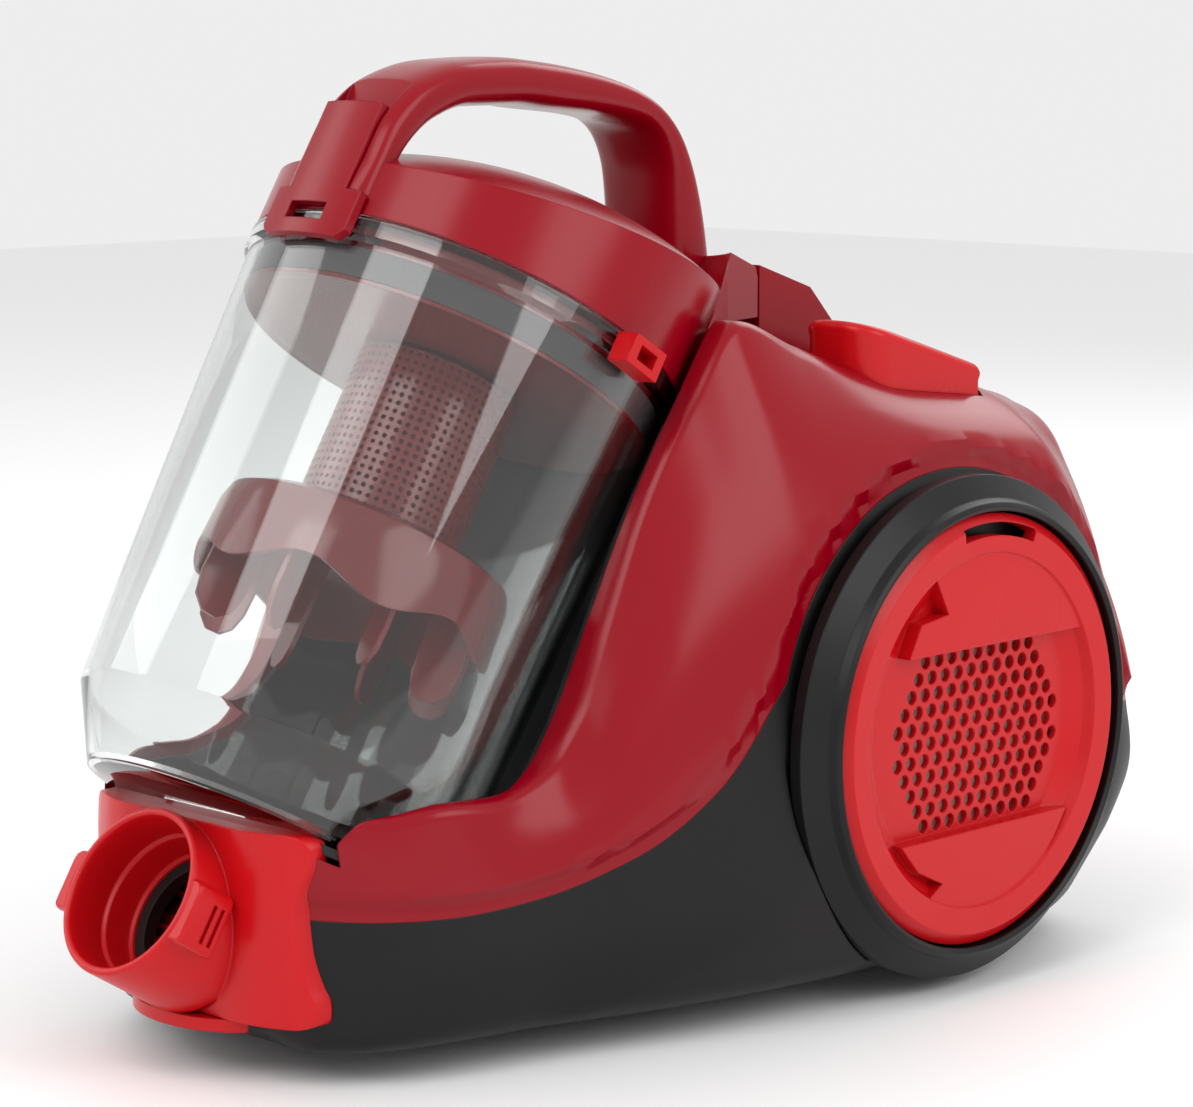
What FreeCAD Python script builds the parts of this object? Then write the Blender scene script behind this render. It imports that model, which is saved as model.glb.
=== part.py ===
import FreeCAD, Part
import math
import os
import Sketcher

# Bagless canister vacuum cleaner, in millimetres.
# +Z is up, the hose inlet faces -Y and the exhaust filter cover faces +X.
# The origin is on the floor, under the middle of the whole cleaner.

SIZES = {
    # dust container: its axis leans back, and its foot is the centre of its base
    "tank_lean": 31.6, "tank_foot_y": -134.7, "tank_foot_z": 72.2,
    "tank_height": 185.0, "tank_foot_radius": 56.0, "tank_ring_radius": 68.5,
    "tank_ring_height": 24.7, "tank_top_radius": 75.0, "tank_wall": 2.2,
    "tank_flange": 1.6, "tank_flange_height": 7.0,
    # separator inside the container
    "seal_depth": 9.0, "seal_height": 10.0, "ceiling_depth": 20.5, "ceiling_thick": 3.0,
    "mesh_radius": 28.0, "mesh_length": 57.0, "mesh_wall": 2.0, "mesh_hole": 1.5,
    "skirt_radius": 50.0, "skirt_drop": 34.0, "skirt_thick": 2.0, "blade_count": 6.0,
    # lid, neck and hinge
    "lid_wall": 2.6, "lid_side": 32.0, "lid_tilt": 9.9, "lid_crown": 19.0, "lid_gap": 0.6,
    "pin_back": 8.7, "pin_rise": 64.7, "pin_radius": 2.0, "pin_clearance": 0.08,
    "neck_half_width": 32.0, "neck_fall": 18.0, "seam_reach": 5.5, "seam_gap": 0.8,
    # handle and latch
    "handle_half_width": 19.0, "handle_rise": 60.0, "groove_half_width": 13.8,
    "latch_half_width": 19.6, "latch_thick": 3.2, "latch_height": 48.0,
    "latch_drop": 10.8, "window_half_width": 8.5,
    # outer casing
    "wall": 2.6, "fit_gap": 0.4, "front_y": -155.0, "rear_y": 197.5, "underside": 11.0,
    "side_bulge": 45.0, "rim_clearance": 4.0, "cradle_gap": 5.3,
    "tail_half_width": 58.0, "tail_top": 196.0,
    # side openings
    "side_y": 87.5, "side_z": 91.3, "cover_radius": 73.9, "cover_face_x": 125.0,
    "cover_thick": 9.0, "cover_gap": 0.9, "ring_radius": 86.5, "ring_wall": 2.5,
    "ring_depth": 40.0, "ring_flange": 12.0, "cup_radius": 60.0, "filter_thick": 22.0,
    "grille_hole": 2.4, "grille_pitch": 7.0,
    # hose inlet
    "mouth_y": -182.6, "mouth_z": 61.5, "mouth_lean": 31.9, "mouth_radius": 28.2,
    "mouth_wall": 3.0, "mouth_step": 3.2, "mouth_length": 34.0, "wing_half_width": 54.0,
    "wing_thick": 3.5, "duct_half_width": 24.0, "duct_back": 29.0, "duct_low": 31.0,
    # wheels
    "caster_y": -117.0, "caster_radius": 10.0, "caster_trail": 8.0, "caster_width": 12.0,
    "roller_x": 98.0, "roller_y": 96.0, "roller_radius": 12.0, "roller_width": 12.0,
    "axle_radius": 2.0, "axle_clearance": 0.06,
    # motor and cord reel
    "motor_radius": 46.0, "motor_length": 92.0, "motor_left_x": -26.0, "shaft_radius": 4.0,
    "reel_radius": 60.0, "reel_width": 46.0, "reel_left_x": -98.0, "reel_hub": 24.0,
    # pedals
    "pedal_x": 67.0, "pedal_half_width": 17.0, "pedal_front_y": 71.0, "pedal_length": 66.0,
    "pedal_front_z": 229.0, "pedal_slope": 17.0, "pedal_gap": 0.8,
    "plunger_radius": 5.0,
}

doc = FreeCAD.newDocument("canister_vacuum")
sheet = doc.addObject("Spreadsheet::Sheet", "Sizes")
for row, (alias, number) in enumerate(SIZES.items(), start=1):
    sheet.set(f"A{row}", alias)
    sheet.set(f"B{row}", str(number))
    sheet.setAlias(f"B{row}", alias)
doc.recompute()

Vector = FreeCAD.Vector
UP = Vector(0, 0, 1)
RIGHT = Vector(1, 0, 0)
BACK = Vector(0, 1, 0)


class Size:
    """A length or an angle, with the sheet formula that it comes from."""

    def __init__(self, number, formula):
        self.number = number
        self.formula = formula

    def join(self, other, sign, number):
        other_formula = other.formula if isinstance(other, Size) else str(other)
        return Size(number, f"({self.formula} {sign} {other_formula})")

    def __add__(self, other):
        return self.join(other, "+", self.number + float(other))

    def __sub__(self, other):
        return self.join(other, "-", self.number - float(other))

    def __mul__(self, other):
        return self.join(other, "*", self.number * float(other))

    def __truediv__(self, other):
        return self.join(other, "/", self.number / float(other))

    def __neg__(self):
        return self * -1

    def __float__(self):
        return float(self.number)


class Sheet:
    """Every alias of the spreadsheet as an attribute."""

    def __getattr__(self, alias):
        return Size(float(sheet.get(alias)), f"Sizes.{alias}")


S = Sheet()
SUB_PARTS = []


def bind(thing, **sizes):
    """Tie properties of a document object to the sheet."""
    for name, size in sizes.items():
        if isinstance(size, Size):
            thing.setExpression(name, size.formula)
        else:
            setattr(thing, name, size)
    return thing


def place(thing, x=0, y=0, z=0, axis=UP, angle=0):
    """Put an object at a point, turned about an axis; sizes stay tied to the sheet."""
    rotation = FreeCAD.Rotation(axis, float(angle))
    thing.Placement = FreeCAD.Placement(Vector(float(x), float(y), float(z)), rotation)
    for name, size in (("x", x), ("y", y), ("z", z)):
        if isinstance(size, Size):
            thing.setExpression(f".Placement.Base.{name}", size.formula)
    if isinstance(angle, Size):
        thing.setExpression(".Placement.Rotation.Angle", angle.formula)
    return thing


def place_on_tank(thing):
    """Put an object that was drawn upright onto the leaning axis of the container."""
    return place(thing, 0, S.tank_foot_y, S.tank_foot_z, RIGHT, -S.tank_lean)


def cylinder(name, radius, height, **where):
    thing = doc.addObject("Part::Cylinder", name)
    bind(thing, Radius=radius, Height=height)
    return place(thing, **where)


def box(name, length, width, height, **where):
    thing = doc.addObject("Part::Box", name)
    bind(thing, Length=length, Width=width, Height=height)
    return place(thing, **where)


def cut(name, base, tool):
    thing = doc.addObject("Part::Cut", name)
    thing.Base = base
    thing.Tool = tool
    return thing


def fuse(name, *shapes):
    thing = doc.addObject("Part::MultiFuse", name)
    thing.Shapes = list(shapes)
    return thing


def tube(name, outer, inner, height, **where):
    """A round tube; where gives the centre of its lower end."""
    outside = cylinder(name + "_outside", outer, height, **where)
    inside = cylinder(name + "_inside", inner, height, **where)
    return cut(name, outside, inside)


def sub_part(thing, label):
    """Name an object after the piece that it is, and list it for writing."""
    thing.Label = label
    SUB_PARTS.append(thing)
    return thing


def free_form(shape, label):
    """A piece whose shape is worked out here from the sheet's sizes."""
    thing = doc.addObject("Part::Feature", label)
    thing.Shape = shape
    thing.Placement = FreeCAD.Placement()
    return sub_part(thing, label)


def outline(body, plane, name, points):
    """A closed sketch of straight lines, each corner tied to the sheet."""
    sketch = body.newObject("Sketcher::SketchObject", name)
    support = [f for f in body.Origin.OriginFeatures if f.Role == plane][0]
    sketch.AttachmentSupport = [(support, "")]
    sketch.MapMode = "FlatFace"
    spots = [Vector(float(x), float(y), 0) for x, y in points]
    count = len(spots)
    for k in range(count):
        sketch.addGeometry(Part.LineSegment(spots[k], spots[(k + 1) % count]))
    for k in range(count):
        sketch.addConstraint(Sketcher.Constraint("Coincident", k, 2, (k + 1) % count, 1))
    for k, corner in enumerate(points):
        for kind, size, axis in (("DistanceX", corner[0], -2), ("DistanceY", corner[1], -1)):
            if float(size) == 0:
                sketch.addConstraint(Sketcher.Constraint("PointOnObject", k, 1, axis))
                continue
            number = float(size)
            index = sketch.addConstraint(Sketcher.Constraint(kind, -1, 1, k, 1, number))
            if isinstance(size, Size):
                sketch.setExpression(f"Constraints[{index}]", size.formula)
    return sketch


def turned(name, points):
    """A PartDesign body turned about its own Z from (radius, height) corners."""
    body = doc.addObject("PartDesign::Body", name)
    sketch = outline(body, "XZ_Plane", name + "_profile", points)
    feature = body.newObject("PartDesign::Revolution", name + "_turn")
    feature.Profile = sketch
    feature.ReferenceAxis = (sketch, ["V_Axis"])
    feature.Angle = 360
    body.Tip = feature
    return body


def padded(name, plane, points, length):
    """A PartDesign body padded both ways from one of its origin planes."""
    body = doc.addObject("PartDesign::Body", name)
    sketch = outline(body, plane, name + "_outline", points)
    feature = body.newObject("PartDesign::Pad", name + "_pad")
    feature.Profile = sketch
    feature.Midplane = True
    bind(feature, Length=length)
    body.Tip = feature
    return body


def on_tank(back, height):
    """World Y and Z of a point given in the container's own upright frame."""
    lean = math.radians(float(S.tank_lean))
    back, height = float(back), float(height)
    y = float(S.tank_foot_y) + height * math.sin(lean) + back * math.cos(lean)
    z = float(S.tank_foot_z) + height * math.cos(lean) - back * math.sin(lean)
    return y, z


def tank_cylinder(radius, low, high):
    """A solid cylinder on the container's leaning axis."""
    y, z = on_tank(0, low)
    top_y, top_z = on_tank(0, high)
    along = Vector(0, top_y - y, top_z - z)
    return Part.makeCylinder(float(radius), along.Length, Vector(0, y, z), along)


def prism_x(points, half_width):
    """A solid with the given (y, z) side outline, spread evenly about X = 0."""
    corners = [Vector(-float(half_width), float(y), float(z)) for y, z in points]
    face = Part.Face(Part.makePolygon(corners + corners[:1]))
    return face.extrude(Vector(2 * float(half_width), 0, 0))


def prism_z(points, low, high):
    """A solid with the given (x, y) plan outline between two heights."""
    corners = [Vector(float(x), float(y), float(low)) for x, y in points]
    face = Part.Face(Part.makePolygon(corners + corners[:1]))
    return face.extrude(Vector(0, 0, float(high) - float(low)))


def block(low, high):
    """A box between two corners."""
    low, high = [Vector(*map(float, corner)) for corner in (low, high)]
    size = high - low
    return Part.makeBox(size.x, size.y, size.z, low)


def rod(radius, start, end):
    """A solid cylinder from one point to another."""
    start, end = [Vector(*map(float, point)) for point in (start, end)]
    return Part.makeCylinder(float(radius), (end - start).Length, start, end - start)


# ---------------------------------------------------------------- hinge place
LID_BASE = S.tank_height + S.lid_gap
PIN_Y, PIN_Z = on_tank(S.tank_top_radius + S.pin_back, S.tank_height + S.pin_rise)
SEAM_Y = PIN_Y + float(S.seam_reach)
LID_REACH = S.tank_top_radius + 1


# ---------------------------------------------------------------- casing envelope
# Each station is (place along Y, four half-widths, four heights): the half-widths at the
# sill, belly, shoulder and rim are shares of the side bulge, counted outward from the
# cradle's rim, and the heights are those of the belly's two ends, the shoulder and the rim.
STATIONS = (
    (-155, -0.85, -0.78, -0.78, -0.80, 45, 60, 78, 87),
    (-148, -0.64, -0.50, -0.50, -0.54, 42, 60, 78, 87.5),
    (-136, -0.34, -0.20, -0.22, -0.25, 40, 58, 76, 87.5),
    (-117, -0.16, 0.03, 0.00, -0.03, 39, 58, 76, 90),
    (-98, -0.06, 0.16, 0.10, 0.02, 39, 60, 76, 89.5),
    (-80, 0.02, 0.26, 0.19, 0.02, 39, 62, 80, 95),
    (-65, 0.13, 0.37, 0.28, 0.02, 39, 68, 92, 111),
    (-53, 0.21, 0.47, 0.34, 0.02, 39, 75, 112, 138),
    (-35, 0.34, 0.59, 0.45, 0.02, 39, 85, 135, 175),
    (-13, 0.46, 0.72, 0.53, 0.02, 39, 98, 158, 207),
    (11, 0.56, 0.83, 0.60, 0.02, 39, 110, 175, 232),
    (40, 0.65, 0.92, 0.65, 0.02, 39, 125, 182, 222.5),
    (87, 0.70, 0.97, 0.70, 0.02, 39, 140, 187, 208.5),
    (140, 0.62, 0.95, 0.66, 0.02, 42, 130, 183, 201),
    (167, 0.40, 0.93, 0.66, 0.14, 52, 100, 152, 190),
    (185, 0.13, 0.84, 0.62, -0.16, 62, 85, 118, 184),
    (193, -0.08, 0.66, 0.42, -0.38, 66, 80, 120, 183),
    (197.5, -0.36, 0.26, -0.02, -0.55, 68, 78, 125, 180),
)
RIM_X = S.tank_top_radius + S.rim_clearance


def envelope(inset):
    """The casing's outer form, or the space inside walls of the given thickness."""
    rim = float(RIM_X)
    bulge = float(S.side_bulge)
    first, last = STATIONS[0][0], STATIONS[-1][0]
    wires = []
    for y, sill, belly, shoulder, top, waist_z, belly_z, shoulder_z, rim_z in STATIONS:
        share = (y - first) / (last - first)
        place_y = float(S.front_y) + share * (float(S.rear_y) - float(S.front_y))
        place_y += inset if y == first else -inset if y == last else 0
        end_lift = 14 if y == last else 6 if y == first else 0
        floor_z = float(S.underside) + end_lift + inset
        half = [
            (rim + bulge * sill - inset, floor_z),
            (rim + bulge * belly - inset, waist_z + inset / 2),
            (rim + bulge * belly - inset, belly_z - inset / 2),
            (rim + bulge * shoulder - inset, shoulder_z - inset),
            (rim + bulge * top - inset, rim_z - inset * 1.5),
        ]
        corners = half + [(-x, z) for x, z in reversed(half)]
        points = [Vector(x, place_y, z) for x, z in corners]
        wires.append(Part.makePolygon(points + points[:1]))
    return Part.makeLoft(wires, True, True)


def tail(inset):
    """The raised block at the rear of the top, between the rear shoulders."""
    rear = float(S.rear_y) - inset
    top = float(S.tail_top) - inset
    front = float(S.side_y) + 28
    side = [(front, 70), (rear, 70), (rear, top - 16), (rear - 4, top - 6),
            (rear - 18, top), (front, top + 8)]
    return prism_x(side, float(S.tail_half_width) - inset)


def boundary():
    """Everything below the sweeping line between the chassis and the upper shell."""
    centre_y, centre_z = float(S.side_y), float(S.side_z)
    radius = float(S.ring_radius) + 1.5

    def on_ring(angle):
        turn = math.radians(angle)
        return Vector(0, centre_y + radius * math.cos(turn), centre_z + radius * math.sin(turn))

    join = on_ring(163)
    front = Vector(0, float(S.front_y) - 60, 57.5)
    sweep = Part.BSplineCurve()
    sweep.interpolate([join, Vector(0, -23, 85), Vector(0, -52, 66.5),
                       Vector(0, -85, 56.5), Vector(0, -117, 54), front])
    rear_low = Vector(0, float(S.rear_y) + 20, on_ring(-3).z)
    edges = [
        Part.Arc(on_ring(-3), on_ring(80), join).toShape(),
        sweep.toShape(),
        Part.makeLine(front, Vector(0, front.y, -20)),
        Part.makeLine(Vector(0, front.y, -20), Vector(0, rear_low.y, -20)),
        Part.makeLine(Vector(0, rear_low.y, -20), rear_low),
        Part.makeLine(rear_low, on_ring(-3)),
    ]
    face = Part.Face(Part.Wire(edges))
    reach = float(RIM_X) + float(S.side_bulge) + 60
    solid = face.extrude(Vector(2 * reach, 0, 0))
    solid.translate(Vector(-reach, 0, 0))
    return solid


OUTSIDE = envelope(0).fuse(tail(0)).removeSplitter()
INSIDE = envelope(float(S.wall)).fuse(tail(float(S.wall)))
SKIN = OUTSIDE.cut(INSIDE)


def cradle_form(spare, low):
    """The seat of the container: its stepped foot, then a straight bore, with room to spare."""
    top = float(S.tank_top_radius + S.cradle_gap) + spare
    foot = float(S.tank_foot_radius) + 3.5 + spare
    ring = float(S.tank_ring_radius) + 4 + spare
    step = float(S.tank_ring_height)
    high = float(S.tank_height) + 90
    corners = [(0, low), (foot, low), (foot, 0), (ring, step), (top, step + 14), (top, high),
               (0, high)]
    points = [Vector(x, 0, z) for x, z in corners]
    solid = Part.Face(Part.makePolygon(points + points[:1])).revolve(Vector(), UP, 360)
    return to_world(solid)


def to_world(shape):
    """Move a shape from the container's upright frame onto its leaning axis."""
    lean = FreeCAD.Rotation(RIGHT, -float(S.tank_lean))
    foot = Vector(0, float(S.tank_foot_y), float(S.tank_foot_z))
    shape.Placement = FreeCAD.Placement(foot, lean)
    return shape


CRADLE = cradle_form(0, -6)


def inlet_axis(distance):
    """A point on the axis of the hose inlet, measured outward from its mouth centre."""
    lean = math.radians(float(S.mouth_lean))
    y = float(S.mouth_y) - distance * math.cos(lean)
    z = float(S.mouth_z) + distance * math.sin(lean)
    return Vector(0, y, z)


def inlet_path(radius):
    """A cylinder along the hose inlet, from ahead of its mouth into the casing."""
    return rod(radius, inlet_axis(40), inlet_axis(-float(S.mouth_length) - 2))


def side_bore(radius, side):
    """A cylinder through one side of the casing, on the filter cover's axis."""
    inner_x = float(S.cover_face_x - S.ring_flange) - 2.5
    start = Vector(side * inner_x, float(S.side_y), float(S.side_z))
    end = Vector(side * (inner_x + 60), float(S.side_y), float(S.side_z))
    return rod(radius, start, end)


def neck_outline(grow):
    """Plan of the lid's rear neck, which narrows from the lid to the seam."""
    half = float(S.neck_half_width) + grow
    wide = float(LID_REACH) * 0.84 + grow
    seam = SEAM_Y + (grow and float(S.seam_gap))
    front_y = on_tank(0, LID_BASE)[0]
    right = [(wide, front_y), (wide, front_y + 44), (half + 6, seam - 22), (half, seam)]
    return right + [(-x, y) for x, y in reversed(right)]


NECK_LOW = PIN_Z - 14
NECK_SPACE = prism_z(neck_outline(1.6), NECK_LOW - 2.5, NECK_LOW + 80)
SCREW_PLACES = ((-60, -65), (60, -65), (-66, 15), (66, 15), (-60, 155), (60, 155))
CASTER_CENTRE = Vector(0, float(S.caster_y) + float(S.caster_trail), 0)
CASTER_WELL = float(S.caster_radius) + float(S.caster_trail) + 5
CASTER_ROOF = 2 * float(S.caster_radius) + 6.5
CASTER_BOSS = CASTER_ROOF + float(S.wall) + 6


def wheel_well(side, grow):
    """The pocket in the chassis that a rear roller turns in."""
    half = float(S.roller_width) / 2 + 2 + grow
    radius = float(S.roller_radius) + 2.5 + grow
    start = (side * float(S.roller_x) - half, float(S.roller_y), float(S.roller_radius))
    end = (side * float(S.roller_x) + half, float(S.roller_y), float(S.roller_radius))
    return rod(radius, start, end)


def caster_well(grow):
    """The round pocket in the chassis that the front caster swivels in."""
    top = CASTER_ROOF + grow
    start = (CASTER_CENTRE.x, CASTER_CENTRE.y, 0)
    return rod(CASTER_WELL + grow, start, (CASTER_CENTRE.x, CASTER_CENTRE.y, top))


def make_chassis():
    """Lower black tub: walls, wheel pockets, caster pivot boss and roller axle holes."""
    wall = float(S.wall)
    shape = SKIN.common(boundary())
    pockets = caster_well(wall).fuse([wheel_well(side, wall) for side in (-1, 1)])
    pockets = pockets.common(OUTSIDE)
    shape = shape.fuse(pockets)
    boss = rod(8, (0, CASTER_CENTRE.y, CASTER_ROOF + 1), (0, CASTER_CENTRE.y, CASTER_BOSS))
    shape = shape.fuse(boss)
    tools = [caster_well(0), wheel_well(-1, 0), wheel_well(1, 0)]
    pivot = float(S.axle_radius) + 1 + float(S.axle_clearance)
    tools.append(rod(pivot, (0, CASTER_CENTRE.y, 10), (0, CASTER_CENTRE.y, CASTER_BOSS + 1)))
    for side in (-1, 1):
        tools.append(side_bore(float(S.ring_radius) + float(S.fit_gap), side))
        middle = side * float(S.roller_x)
        y, z = float(S.roller_y), float(S.roller_radius)
        reach = float(S.roller_width) / 2 + 5
        tools.append(rod(float(S.axle_radius), (middle - reach, y, z), (middle + reach, y, z)))
    tools.append(inlet_path(float(S.mouth_radius) + 0.5))
    tools.append(CRADLE)
    rear = float(S.rear_y)
    tools.append(rod(9, (-30, rear - 20, 70), (-30, rear + 5, 70)))
    tools.append(rod(11.3, (-30, rear - 1.2, 70), (-30, rear + 5, 70)))
    for x, y in SCREW_PLACES:
        shape = shape.fuse(rod(6, (x, y, float(S.underside) + 1), (x, y, 24)))
        tools.append(rod(3.8, (x, y, 0), (x, y, float(S.underside) + 2.4)))
        tools.append(rod(1.5, (x, y, 0), (x, y, 40)))
    return free_form(shape.cut(tools).removeSplitter(), "chassis")


def make_upper_shell():
    """Upper red shell, open where the container and its neck sit and at each pedal."""
    shape = SKIN.cut(boundary())
    tools = [CRADLE, NECK_SPACE, inlet_path(float(S.mouth_radius) + 0.5)]
    for side in (-1, 1):
        tools.append(side_bore(float(S.ring_radius) + float(S.fit_gap), side))
        tools.append(pedal_block(side, float(S.pedal_gap), -30))
    tools.append(outlet_duct_form(float(S.fit_gap)))
    shape = shape.cut(tools)
    solids = sorted(shape.Solids, key=lambda solid: solid.Volume)
    return free_form(solids[-1], "upper_shell")


def pedal_block(side, grow, low):
    """The space of one pedal: its plan outline under its sloping top."""
    half = float(S.pedal_half_width) + grow
    middle = side * float(S.pedal_x)
    front = float(S.pedal_front_y) - grow
    back = front + float(S.pedal_length) + 2 * grow
    slope = math.tan(math.radians(float(S.pedal_slope)))
    top = float(S.pedal_front_z) + grow
    corners = [(front + 6, top - 6 * slope), (back, top - (back - front) * slope),
               (back, 182 + low), (front, 182 + low), (front, top - 6)]
    face = Part.Face(Part.makePolygon([Vector(middle - half, y, z)
                                       for y, z in corners + corners[:1]]))
    return face.extrude(Vector(2 * half, 0, 0))


def make_pedal(side, label):
    """A foot pedal: a hollow cap with a plunger underneath."""
    wall = float(S.wall)
    low = 12
    outer = pedal_block(side, 0, low)
    inner = pedal_block(side, -wall, low - wall - 1)
    cap = outer.cut(inner)
    middle = side * float(S.pedal_x)
    y = float(S.pedal_front_y) + float(S.pedal_length) * 0.5
    slope = math.tan(math.radians(float(S.pedal_slope)))
    under = float(S.pedal_front_z) - float(S.pedal_length) * 0.5 * slope - wall
    plunger = rod(float(S.plunger_radius), (middle, y, 178), (middle, y, under))
    return free_form(cap.fuse(plunger).removeSplitter(), label)


def make_spine_cover():
    """The raised hump behind the lid, which covers the air duct between the pedals."""
    half = float(S.neck_half_width)
    front = SEAM_Y + float(S.seam_gap)
    top = PIN_Z + 4.2
    side = [(front, 200), (front, top), (front + 27, top - 9),
            (front + 41, top - 23.5), (front + 52, 200)]
    wall = float(S.wall)
    outer = prism_x(side, half)
    space = [(front + wall, 190), (front + wall, top - wall), (front + 26, top - 9 - wall),
             (front + 39, top - 24 - wall), (front + 48, 190)]
    inner = prism_x(space, half - wall)
    return free_form(outer.cut(inner).cut(OUTSIDE), "spine_cover")


def make_cradle_liner():
    """Dark cup that the container rests in, with a hole for the inlet duct."""
    outer = cradle_form(-float(S.fit_gap), -4)
    inner = cradle_form(-float(S.fit_gap) - 2, -1.2)
    ceiling = tank_cylinder(150, S.tank_height - 14, S.tank_height + 120)
    inside = envelope(float(S.wall) + float(S.fit_gap))
    shape = outer.cut([inner, ceiling]).common(inside)
    hole = duct_block(float(S.fit_gap), 60)
    shape = shape.cut([hole, inlet_path(float(S.mouth_radius) + 1)])
    solids = sorted(shape.Solids, key=lambda solid: solid.Volume)
    return free_form(solids[-1], "cradle_liner")


def duct_block(grow, rise):
    """The box of the elbow that leads the air from the inlet up into the container."""
    front = float(S.front_y) + 6 - grow
    back = front + float(S.duct_back) + 2 * grow
    low = float(S.duct_low) - grow
    tops = []
    for y in (back, front):
        lean = math.radians(float(S.tank_lean))
        reach = (y - float(S.tank_foot_y)) / math.cos(lean)
        tops.append((y, on_tank(reach, 0)[1] - 1.6 + rise))
    side = [(front, low), (back, low)] + tops
    return prism_x(side, float(S.duct_half_width) + grow)


def make_inlet_duct():
    """Elbow from the hose inlet up to the hole in the container's base."""
    outer = duct_block(0, 0)
    inner = duct_block(-2, 8)
    shape = outer.cut(inner).cut(inlet_path(float(S.mouth_radius) + 0.3))
    solids = sorted(shape.Solids, key=lambda solid: solid.Volume)
    return free_form(solids[-1], "inlet_duct")


def make_inlet_housing():
    """Bright red hose socket with a stepped bore, side wings and a base flange."""
    radius = float(S.mouth_radius)
    length = float(S.mouth_length)
    barrel = rod(radius, inlet_axis(0), inlet_axis(-length))
    lugs = []
    for side in (-1, 1):
        lug = block((side * radius - 3, 0.5, -12), (side * radius + 3.5, 15, 9))
        lean = FreeCAD.Rotation(RIGHT, -float(S.mouth_lean))
        lug.Placement = FreeCAD.Placement(inlet_axis(2), lean)
        lugs.append(lug)
    half = float(S.wing_half_width)
    front, thick = float(S.front_y), float(S.wing_thick)
    plan = [(-half - 1, front + 11), (-half + 10, front - thick), (-32, front - 9),
            (32, front - 9), (half - 10, front - thick), (half + 1, front + 11)]
    face = [(-half - 1, 21), (half + 1, 21), (half - 5, 34), (half - 2.5, 50), (half - 5, 62),
            (half + 0.5, 73), (half - 4, 82), (-half + 4, 82), (-half - 0.5, 73),
            (-half + 5, 62), (-half + 2.5, 50), (-half + 5, 34)]
    edge = Part.makePolygon([Vector(x, front - 40, z) for x, z in face + face[:1]])
    plate = prism_z(plan, 16, 90).common(Part.Face(edge).extrude(Vector(0, 80, 0)))
    flange = prism_z([(-12, front - 15), (12, front - 15), (28, front - 3), (28, front + 2),
                      (-28, front + 2), (-28, front - 3)], 16, 21)
    shape = plate.fuse([barrel, flange] + lugs).cut(OUTSIDE_GROWN)
    bore = rod(radius - float(S.mouth_wall), inlet_axis(10), inlet_axis(-26))
    throat = rod(radius - float(S.mouth_wall) - float(S.mouth_step), inlet_axis(0),
                 inlet_axis(-length - 20))
    slots = []
    lean = FreeCAD.Rotation(RIGHT, -float(S.mouth_lean))
    for side in (-1, 1):
        slot = block((side * (radius - 1) - 3, 7, -8), (side * (radius - 1) + 3, 12, 5))
        slot.Placement = FreeCAD.Placement(inlet_axis(2), lean)
        slots.append(slot)
    shape = shape.fuse(barrel).cut([bore, throat] + slots)
    return free_form(shape.removeSplitter(), "inlet_housing")


def make_inlet_seal():
    """Black rubber ring at the bottom of the hose socket."""
    radius = float(S.mouth_radius - S.mouth_wall - S.mouth_step)
    outer = rod(radius - 0.1, inlet_axis(-27), inlet_axis(-32))
    inner = rod(radius - 4, inlet_axis(-25), inlet_axis(-34))
    return free_form(outer.cut(inner), "inlet_seal")


def around_x(thing, side, x):
    """Turn a piece drawn about Z so that its +Z points out through one side."""
    turn = 90 if side > 0 else -90
    return place(thing, x, S.side_y, S.side_z, BACK, turn)


def make_side_ring(side, label, closed):
    """Black ring round a side cover; the filter side is closed into a cup."""
    lip = S.cover_radius + S.cover_gap
    rim = S.ring_depth + 1.5
    low = S.ring_depth - S.ring_flange
    points = [(lip, low + 3), (lip, rim - 1), (lip + 1.5, rim), (lip + 3, rim - 1),
              (lip + 4, rim - 4), (S.ring_radius, rim - 9), (S.ring_radius, low)]
    if closed:
        inner = S.cup_radius - S.ring_wall
        points += [(S.cup_radius, low), (S.cup_radius, 0), (30, 0), (30, S.ring_wall),
                   (inner, S.ring_wall), (inner, low + 3)]
    else:
        points += [(lip - 4, low), (lip - 4, low + 3)]
    ring = turned(label, points)
    return sub_part(around_x(ring, side, (S.cover_face_x - S.ring_depth - 1) * side), label)


def cover_frame(label):
    """The dished round cover on a side of the casing, drawn about Z, face up at 0."""
    rim = S.cover_radius
    thick = S.cover_thick
    points = [(0, -7.5), (52, -7.5), (59, -4), (61, -0.6), (rim - 4, 0), (rim, -3),
              (rim, -thick), (rim - 3, -thick), (rim - 4, -5), (58, -7.5), (52, -10), (0, -10)]
    return turned(label + "_dish", points)


def pocket_prism(name, points, low, high):
    """A straight-sided block over a plan outline, drawn about Z."""
    body = padded(name, "XY_Plane", points, abs(high - low))
    return place(body, 0, 0, (low + high) / 2)


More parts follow.
